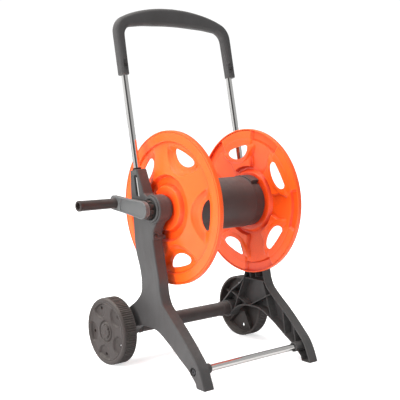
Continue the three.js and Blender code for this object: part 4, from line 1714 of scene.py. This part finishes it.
# ---------------- wheels
@dataclass
class Wheels:
    """The two wheels with axial tread ribs, five cup figures with holes and notched hub caps."""

    shop: Workshop
    radius: float = 85.0
    in_x: float = 207.0
    out_x: float = 246.0
    ribs: int = 90
    rib_depth: float = 1.5
    cups: int = 5
    first_cup: float = 44.0
    pitch: float = 62.0
    hole: float = 4.6
    cup: float = 26.0
    cup_depth: float = 6.2
    arc_steps: int = 96

    def phases(self) -> list[float]:
        """Angle of each cup from the top towards the feet, in radians."""
        return [math.radians(self.first_cup + 360 / self.cups * k) for k in range(self.cups)]

    def tread(self, radius: float, along: float, angle: float) -> Flat:
        """Cuts the grooves between the tread ribs."""
        if radius < self.radius - 0.9 or not -self.out_x + 7.5 < along < -self.in_x - 2.5:
            return radius, along
        return radius - self.rib_depth * smoothstep(0.34, 0.6, wave(angle, self.ribs)), along

    def face(self, radius: float, angle: float) -> float:
        """Outer face of the dish with its cups.

        Args:
            radius: distance from the axle.
            angle: angle from the middle of a cup.

        Returns:
            The distance along the axle.
        """
        u, v = radius * math.sin(angle), radius * math.cos(angle) - self.pitch
        dish = self.out_x - 1.4 - 1.4 * smoothstep(72, 66, radius) * smoothstep(28, 40, radius)
        away = math.hypot(u, v)
        wall, floor = smoothstep(self.cup - 4.5, self.cup, away), smoothstep(8, self.cup - 4, away)
        depth = self.cup_depth * (1 - 0.8 * wall - 0.2 * floor) * (1 - smoothstep(68.0, 72.0, radius))
        return -(dish - depth)

    def build_wheel(self) -> Shell:
        """The left wheel.

        Returns:
            Its shell.
        """
        lay = self.shop.layout
        origin = (0, lay.wheel_y, lay.wheel_z)
        axis = Axis(origin)
        phase = self.phases()[0] - math.pi / self.cups
        turned = Axis(origin, axis.along, (0, -math.sin(phase), math.cos(phase)),
                      (0, -math.cos(phase), -math.sin(phase)))
        shell = Shell()
        segments, o, i = self.arc_steps * self.cups, -self.out_x, -self.in_x
        web_in, web_out = 29.0, 72.5
        inner_x = o + 12.4
        rim = [(web_out, self.face(web_out, math.pi / self.cups)), (74.2, o + 2.8), (76.4, o + 0.5),
               (79.5, o), (82, o + 0.6), (84.2, o + 3.2), (85, o + 6.4)]
        tread = [(85, o + 8.4), (85, o + 9.0), (85, i - 4.0), (85, i - 3.0)]
        inside = [(85, i - 1.6), (84.2, i - 0.2), (83, i), (80, i), (79, i - 0.8), (78.6, o + 13),
                  (76.5, inner_x), (web_out, inner_x)]
        profile = [*soften(rim, 2.0, False, limit=12), *tread, *inside]
        shell.turn(turned, profile, segments, False, self.tread)
        hub_out = [(6.3, o + 1), (21.5, o + 1), (22.6, o + 1.4), (24.4, o + 4.4), (26, o + 5.6),
                   (27.5, o + 4.4), (web_in, self.face(web_in, 0))]
        shell.turn(turned, hub_out, segments, closed=False)
        hub_in = [(web_in, inner_x), (19.5, inner_x), (18, inner_x + 1.5), (18, -194), (17.4, -193.4),
                  (6.3, -193.4), (6.3, o + 1)]
        shell.turn(turned, hub_in, segments, closed=False)
        circle = Window(tuple(arc(0, self.pitch, self.hole, 0, 350, 35)), self.pitch)
        args = (axis, web_in, web_out, self.phases(), circle)
        outside = shell.web(*args, self.face, self.arc_steps, rings=22, lip=0.8, into=1)
        inside_ends = shell.web(*args, lambda r, a: inner_x, self.arc_steps, rings=5, lip=0.4, into=-1)
        for a, b in zip(outside, inside_ends):
            shell.bridge(a, b)
        for k in range(self.cups):
            self.add_spoke(shell, self.phases()[k] + math.pi / self.cups, inner_x)
        return shell

    def add_spoke(self, shell: Shell, angle: float, floor: float) -> None:
        """Adds a stiffening rib inside the wheel.

        Args:
            shell: the wheel's shell.
            angle: its angle from the top.
            floor: where the inner face stands along the axle.
        """
        lay = self.shop.layout
        c, s = math.cos(angle), math.sin(angle)

        def place(u: float, v: float, x: float) -> Spot:
            """A point at (across, out) of the rib."""
            return (x, lay.wheel_y - (v * s + u * c), lay.wheel_z + v * c - u * s)

        line = soften([(-1.2, 17), (1.2, 17), (1.2, 79), (-1.2, 79)], 0.5)
        shell.slab(place, line, [(0, floor - 0.5), (0.1, floor + 12), (0.6, floor + 12.6)])

    def cap_shape(self, radius: float, along: float, angle: float) -> Flat:
        """Scallops the edge of the hub cap."""
        if radius < 13:
            return radius, along
        return radius - (radius - 13) * 0.42 * smoothstep(0.72, 0.86, wave(angle, 6)), along

    def build(self) -> None:
        """Builds and dresses both wheels."""
        shop, lay = self.shop, self.shop.layout
        bodies = ("wheel_left", "wheel_right")
        shop.pair(self.build_wheel(), "wheel", bodies, "wheel")
        o = -self.out_x
        cap = [(0, o - 3.4), (6, o - 3.4), (7.2, o - 2.6), (12.4, o - 2.5), (15, o - 3.0), (17, o - 2.5),
               (18.5, o - 1.2), (18.5, o + 0.7), (0, o + 0.7)]
        axis = Axis((0, lay.wheel_y, lay.wheel_z))
        shell = Shell().turn(axis, soften(cap, 0.6, closed=False, limit=12), 144, False, self.cap_shape)
        shop.pair(shell, "hub_cap", bodies, "wheel")


# ---------------- handle
@dataclass
class Handle:
    """The telescopic handle: a U-shaped grip on two chromed tubes, with snap buttons."""

    shop: Workshop
    tube_radius: float = 8.0
    tube_low: float = -78.0
    tube_high: float = 300.0
    sleeve_low: float = 238.0
    depth: float = 26.0
    forward: float = 2.5
    corner: float = 11.0
    button_s: float = 263.0

    def half_lines(self) -> tuple[list[Flat], list[Flat]]:
        """The outer and the inner line of the grip's left half, point by point beside each other.

        Returns:
            Two lists of (X, along the tube) points of the same length, from the sleeve to the middle.
        """

        def even(points: Sequence[Flat], count: int) -> list[Flat]:
            """Samples a line at even steps."""
            p = [Vector(q) for q in points]
            spans = [(b - a).length for a, b in zip(p, p[1:])]
            total, out, i, run = sum(spans), [], 0, 0.0
            for k in range(count + 1):
                want = total * k / count
                while i < len(spans) - 1 and run + spans[i] < want:
                    run += spans[i]
                    i += 1
                v = p[i].lerp(p[i + 1], (want - run) / spans[i])
                out.append((v.x, v.y))
            return out

        low = self.sleeve_low
        outer = [
            even([(190.5, low), (190.5, 340)], 18),
            even([(190.5, 340), *arc(144.5, 346, 46, 8, 74, 20)], 20),
            even(through([(158.8, 390.7), (124, 402.5), (90, 410.5), (45, 417), (0, 419)], 4), 26),
        ]
        inner = [
            even([(164, low), (162.5, 328)], 18),
            even([(162.5, 328), *arc(134, 336, 28.5, 6, 84, 20)], 20),
            even(through([(131, 364.8), (102, 368.5), (70, 370), (30, 372), (0, 372.5)], 4), 26),
        ]

        def joined(parts: list[list[Flat]]) -> list[Flat]:
            """Runs the stretches together and mirrors them onto the left side."""
            line = parts[0] + parts[1][1:] + parts[2][1:]
            for _ in range(2):
                line = [line[0]] + [
                    ((a[0] + 2 * b[0] + c[0]) / 4, (a[1] + 2 * b[1] + c[1]) / 4)
                    for a, b, c in zip(line, line[1:], line[2:])
                ] + [line[-1]]
            return [(-x, s) for x, s in line]

        return joined(outer), joined(inner)

    def section(self, a: Vector, b: Vector, shrink: float) -> list[Spot]:
        """One rounded cross-section between an outer and an inner point.

        Args:
            a: outer point in (X, along).
            b: inner point.
            shrink: how far the section is drawn in.

        Returns:
            The points of the section.
        """
        lay = self.shop.layout
        middle, across = (a + b) / 2, (a - b).normalized()
        half, thick = (a - b).length / 2 - shrink, self.depth / 2 - shrink
        r = max(0.5, min(self.corner, half * 0.92, thick * 0.92) - shrink / 2)
        box = [(half, thick), (-half, thick), (-half, -thick), (half, -thick)]
        spots = []
        for i, (cu, cn) in enumerate(box):
            centre_u, centre_n = cu - math.copysign(r, cu), cn - math.copysign(r, cn)
            for k in range(9):
                angle = math.pi / 2 * (i + k / 8)
                u, n = centre_u + r * math.cos(angle), centre_n + r * math.sin(angle)
                point = middle + across * u
                spots.append(lay.leaned(point.x, point.y, n - self.forward))
        return spots

    def build_grip(self) -> Shell:
        """The U-shaped grip.

        Returns:
            Its shell.
        """
        outer, inner = self.half_lines()
        full_outer = outer + [(-x, s) for x, s in reversed(outer[:-1])]
        full_inner = inner + [(-x, s) for x, s in reversed(inner[:-1])]
        shell = Shell()
        rings: list[Ring] = []
        count = len(full_outer)
        for k, (a, b) in enumerate(zip(full_outer, full_inner)):
            va, vb = Vector(a), Vector(b)
            if k in (0, count - 1):
                down = Vector((0, 1.4))
                ends = [(down * share, shrink) for share, shrink in ((0.0, 1.4), (0.3, 0.4), (1.0, 0.0))]
                for shift, shrink in ends if k == 0 else reversed(ends):
                    rings.append(shell.ring(self.section(va + shift, vb + shift, shrink)))
            else:
                rings.append(shell.ring(self.section(va, vb, 0.0)))
        for a, b in zip(rings, rings[1:]):
            shell.bridge(a, b)
        shell.faces.append(tuple(rings[0]))
        shell.faces.append(tuple(reversed(rings[-1])))
        return shell

    def cut_seats(self, grip: bpy.types.Object) -> None:
        """Sinks the stadium seats of the snap buttons into the sleeves.

        Args:
            grip: the finished grip.
        """
        lay = self.shop.layout
        seat = [*arc(0, 7, 7.5, 0, 180, 12), *arc(0, -7, 7.5, 180, 360, 12)]
        for side in Side:

            def place(u: float, v: float, n: float) -> Spot:
                """A point of the seat."""
                return lay.leaned(side.value * TUBE_X + u, self.button_s + v, n)

            levels = [(0, -20), (0, -13.6), (0.7, -12.9)]
            cutter = Shell().slab(place, seat, levels).mesh("seat_cutter", lay)
            cut = grip.modifiers.new("seat", "BOOLEAN")
            cut.object = cutter
            cut.solver = "EXACT"
            bpy.context.view_layer.objects.active = grip
            bpy.ops.object.modifier_apply(modifier=cut.name)
            bpy.data.objects.remove(cutter)
        grip.data.set_sharp_from_angle(angle=SHARP_ANGLE)

    def build(self) -> None:
        """Builds and dresses the handle."""
        shop, lay = self.shop, self.shop.layout
        grip = self.build_grip().mesh("handle_grip_visual", lay)
        self.cut_seats(grip)
        shop.dress(grip, "handle_grip", "handle", "frame")
        axis = lay.tube_axis()
        r, low, high = self.tube_radius, self.tube_low, self.tube_high
        tube = [(6.8, low), (r - 0.4, low), (r, low + 0.4), (r, high - 0.4), (r - 0.4, high),
                (6.8, high)]
        both = ("handle", "handle")
        shop.pair(Shell().turn(axis, tube, 72), "handle_tube", both, "tube")
        foot = [(0, low - 7), (6.2, low - 7), (8.6, low - 4.6), (8.6, low - 0.8), (8.2, low - 0.3),
                (6.5, low - 0.3), (6.5, low + 14), (0, low + 14)]
        shell = Shell().turn(axis, soften(foot, 0.5, closed=False), 40, False)
        shop.pair(shell, "tube_foot", both, "black")
        button = lay.tube_axis(self.button_s, -10.2)
        press = Axis(button.origin, tuple(-c for c in button.up), button.along, button.side)
        knob = [(0, 0), (4.2, 0), (4.2, 5.2), (3.9, 6.2), (3.0, 6.8), (1.6, 6.8), (1.2, 6.5), (0, 6.5)]
        shell = Shell().turn(press, knob, 40, False)
        shop.pair(shell, "snap_button", ("snap_left", "snap_right"), "black")


# ---------------- lock and inlet
@dataclass
class ReelLock:
    """The lock button under the left hub and the screw beside it."""

    shop: Workshop
    y: float = 5.0
    z: float = 332.0
    screw_x: float = -178.0
    screw_above: float = 4.0

    @classmethod
    def screw_axis(cls, y: float) -> Axis:
        """The line of the lock screw, which points out of the frame's front edge from that Y."""
        return Axis((cls.screw_x, y, cls.z + cls.screw_above), (0, -1, 0), (0, 0, 1), (1, 0, 0))

    def build(self) -> None:
        """Builds and dresses the button and the screw."""
        shop = self.shop
        axis = Axis((0, self.y, self.z))
        button = [(0, -172), (3.6, -172), (4, -171.6), (4, -160.3), (6, -160.3), (6, -147.2),
                  (5.6, -146.4), (4.6, -146), (2.4, -146), (2, -146.6), (0, -146.6)]
        shop.piece(Shell().turn(axis, button, 48, False), "reel_lock_button", "reel_lock", "frame")
        shell = Shell()
        body = [(0, -9), (1.2, -9), (2, -8), (2, 0.3), (4.6, 0.3), (5, 0.7), (4.9, 1.5), (4.2, 2.2),
                (3.2, 2.6)]
        CrossMembers(shop).screw_head(shell, self.screw_axis(-1.4), body, 4, -1.6, 2.6)
        shop.piece(shell, "lock_screw", "cart_frame", "screw")


@dataclass
class WaterInlet:
    """The swivel inlet on the right hub with its downward tap stub and union nut."""

    shop: Workshop
    x: float = 216.0

    def build(self) -> None:
        """Builds and dresses the inlet."""
        shop, lay = self.shop, self.shop.layout
        hub = Axis((0, 0, lay.axle_z))
        body = [(15.3, 178.4), (24.4, 178.4), (25, 179), (25, 195.4), (24, 196.5), (14.4, 196.5),
                (13, 198), (13, 214), (12, 216), (0, 216), (0, 214), (5.5, 214), (5.5, 190), (15.3, 190)]
        shell = Shell().turn(hub, soften(body, 0.8, closed=False), 72, False)
        shell.bridge([0], [1])
        down = Axis((self.x, 0, lay.axle_z), (0, 0, 1), (0, 1, 0), (1, 0, 0))
        barbs = [(8, -33), (7.2, -34), (8, -35.5), (7.2, -37), (8, -38.5), (7.2, -40), (8, -41.5)]
        stub = [(0, 13), (10, 13), (13, 10), (13, -10), (11, -12), (11, -28), (8, -30), *barbs, (7, -46),
                (5.5, -46), (5.5, -3), (0, -3)]
        shell.turn(down, soften(stub, 0.6, closed=False), 64, False)
        shop.piece(shell, "water_inlet", "cart_frame", "black")

        def knurled(radius: float, along: float, angle: float) -> Flat:
            """Grips round the nut."""
            if radius < 14:
                return radius, along
            return radius - 0.9 * smoothstep(0.5, 0.8, wave(angle, 12)), along

        nut = [(11.4, -27.5), (15, -27.5), (16, -26.6), (16, -15), (15, -14), (11.4, -14)]
        shell = Shell().turn(down, soften(nut, 0.5), 144, shape=knurled)
        shop.piece(shell, "inlet_nut", "cart_frame", "orange")


# ---------------- studio
@dataclass
class Studio:
    """The plain pale floor, the soft lights and the camera."""

    camera_place: Spot = (-1.3418, -1.6374, 0.6389)
    turn: float = 39.4838
    drop: float = 6.0336
    lens: float = 75.8
    floor_half: float = 30.0
    floor_shade: float = 0.82
    floor_glow: float = 0.62
    surround: float = 1.05
    reflected: float = 0.98
    lit_from: Spot = (-0.93, 0.0, 0.36)
    lit_low: float = 0.13
    lit_high: float = 1.9
    dark_bands: tuple[Spot, ...] = ((-2.40, 0.62, 0.9), (-0.5, 1.45, 0.45), (0.95, 0.16, 0.5))
    lamp_target: Spot = (0.0, 0.0, 0.4)

    def build(self) -> None:
        """Sets up the studio."""
        bpy.context.scene.view_settings.view_transform = "Standard"
        self.floor()
        self.world()
        self.lamp("key", (-3.2, -0.2, 1.2), 1.5, 95)
        self.lamp("top", (-0.3, 0.7, 3.2), 2.2, 105)
        self.camera()

    def floor(self) -> None:
        """The pale floor, which glows a little for the camera only, so that it meets the surround."""
        mesh = bpy.data.meshes.new("studio_floor")
        half = self.floor_half
        corners = [(-half, -half, 0), (half, -half, 0), (half, half, 0), (-half, half, 0)]
        mesh.from_pydata(corners, [], [(0, 1, 2, 3)])
        floor = bpy.data.objects.new("studio_floor", mesh)
        bpy.context.scene.collection.objects.link(floor)
        material = bpy.data.materials.new("pale_floor")
        material.use_nodes = True
        shader = material.node_tree.nodes["Principled BSDF"]
        shader.inputs["Base Color"].default_value = (*[self.floor_shade] * 3, 1)
        shader.inputs["Emission Color"].default_value = (1, 1, 1, 1)
        shader.inputs["Roughness"].default_value = 0.9
        shader.inputs["Specular IOR Level"].default_value = 0.1
        g = Graph(material.node_tree)
        seen = g.maths("MULTIPLY", g.node("LightPath").outputs["Is Camera Ray"], self.floor_glow)
        g.feed(shader.inputs["Emission Strength"], seen)
        mesh.materials.append(material)

    def world(self) -> None:
        """A white surround for the camera, one lit from the crank's side, and one with dark bands.

        Diffuse rays meet the one that is brighter on the crank's side. Glossy rays meet the banded one,
        whose bands have a bearing, a half width and a darkness, and give the chrome its lines.
        """
        world = bpy.data.worlds.new("studio_surround")
        bpy.context.scene.world = world
        world.use_nodes = True
        tree = world.node_tree
        tree.nodes.clear()
        g = Graph(tree)
        split = g.node("SeparateXYZ")
        way = g.node("TexCoord").outputs["Generated"]
        g.feed(split.inputs[0], way)
        bearing = g.maths("ARCTAN2", split.outputs["Y"], split.outputs["X"])
        shade: object = 1.0
        for centre, width, depth in self.dark_bands:
            off = g.maths("ABSOLUTE", g.maths("SUBTRACT", bearing, centre))
            band = g.ramp(off, width * 0.8, width, 1 - depth, 1.0)
            shade = g.maths("MULTIPLY", shade, band)
        shade = g.maths("MAXIMUM", shade, g.ramp(split.outputs["Z"], 0.62, 0.9))
        facing = g.node("VectorMath", operation="DOT_PRODUCT")
        g.feed(facing.inputs[0], way)
        g.feed(facing.inputs[1], self.lit_from)
        gentle = g.ramp(facing.outputs["Value"], 0.0, 1.0, self.lit_low, self.lit_high)
        path = g.node("LightPath")
        glossy = g.maths("MULTIPLY", shade, self.reflected)
        level = g.node("Mix", data_type="FLOAT")
        g.feed(level.inputs[0], path.outputs["Is Glossy Ray"])
        g.feed(level.inputs[2], gentle)
        g.feed(level.inputs[3], glossy)
        soft = g.node("Background", in_Color=(1, 1, 1, 1))
        g.feed(soft.inputs["Strength"], level.outputs[0])
        plain = g.node("Background", in_Color=(1, 1, 1, 1), in_Strength=self.surround)
        mix = g.node("MixShader")
        g.feed(mix.inputs[0], path.outputs["Is Camera Ray"])
        g.feed(mix.inputs[1], soft.outputs[0])
        g.feed(mix.inputs[2], plain.outputs[0])
        out = g.node("OutputWorld")
        tree.links.new(mix.outputs[0], out.inputs[0])

    def lamp(self, name: str, place: Spot, size: float, power: float) -> None:
        """A large soft lamp that looks at the reel.

        Args:
            name: the lamp's name.
            place: where it hangs, in metres.
            size: edge of the lamp.
            power: its power in watts.
        """
        data = bpy.data.lights.new(name, "AREA")
        data.size = size
        data.energy = power
        lamp = bpy.data.objects.new(name, data)
        bpy.context.scene.collection.objects.link(lamp)
        lamp.location = place
        lamp.visible_glossy = False
        way = Vector(self.lamp_target) - Vector(place)
        lamp.rotation_euler = way.to_track_quat("-Z", "Y").to_euler()

    def camera(self) -> None:
        """The camera at the wanted viewing angle."""
        data = bpy.data.cameras.new("camera")
        data.lens = self.lens
        data.sensor_width = SENSOR_WIDTH
        camera = bpy.data.objects.new("camera", data)
        bpy.context.scene.collection.objects.link(camera)
        turn, drop = math.radians(self.turn), math.radians(self.drop)
        way = Vector((math.sin(turn) * math.cos(drop), math.cos(turn) * math.cos(drop), -math.sin(drop)))
        camera.location = self.camera_place
        camera.rotation_euler = way.to_track_quat("-Z", "Y").to_euler()
        bpy.context.scene.camera = camera


def main() -> None:
    """Builds the cart piece by piece, then the studio."""
    logging.basicConfig(level=logging.INFO, format="%(name)s: %(message)s")
    shop = Workshop(Layout.from_frame(), Effects())
    for assembly in (SideFrames, CrossMembers, Reel, Crank, Wheels, Handle, ReelLock, WaterInlet):
        assembly(shop).build()
        log.info("built %s", assembly.__name__)
    Studio().build()


if __name__ == "__main__":
    main()
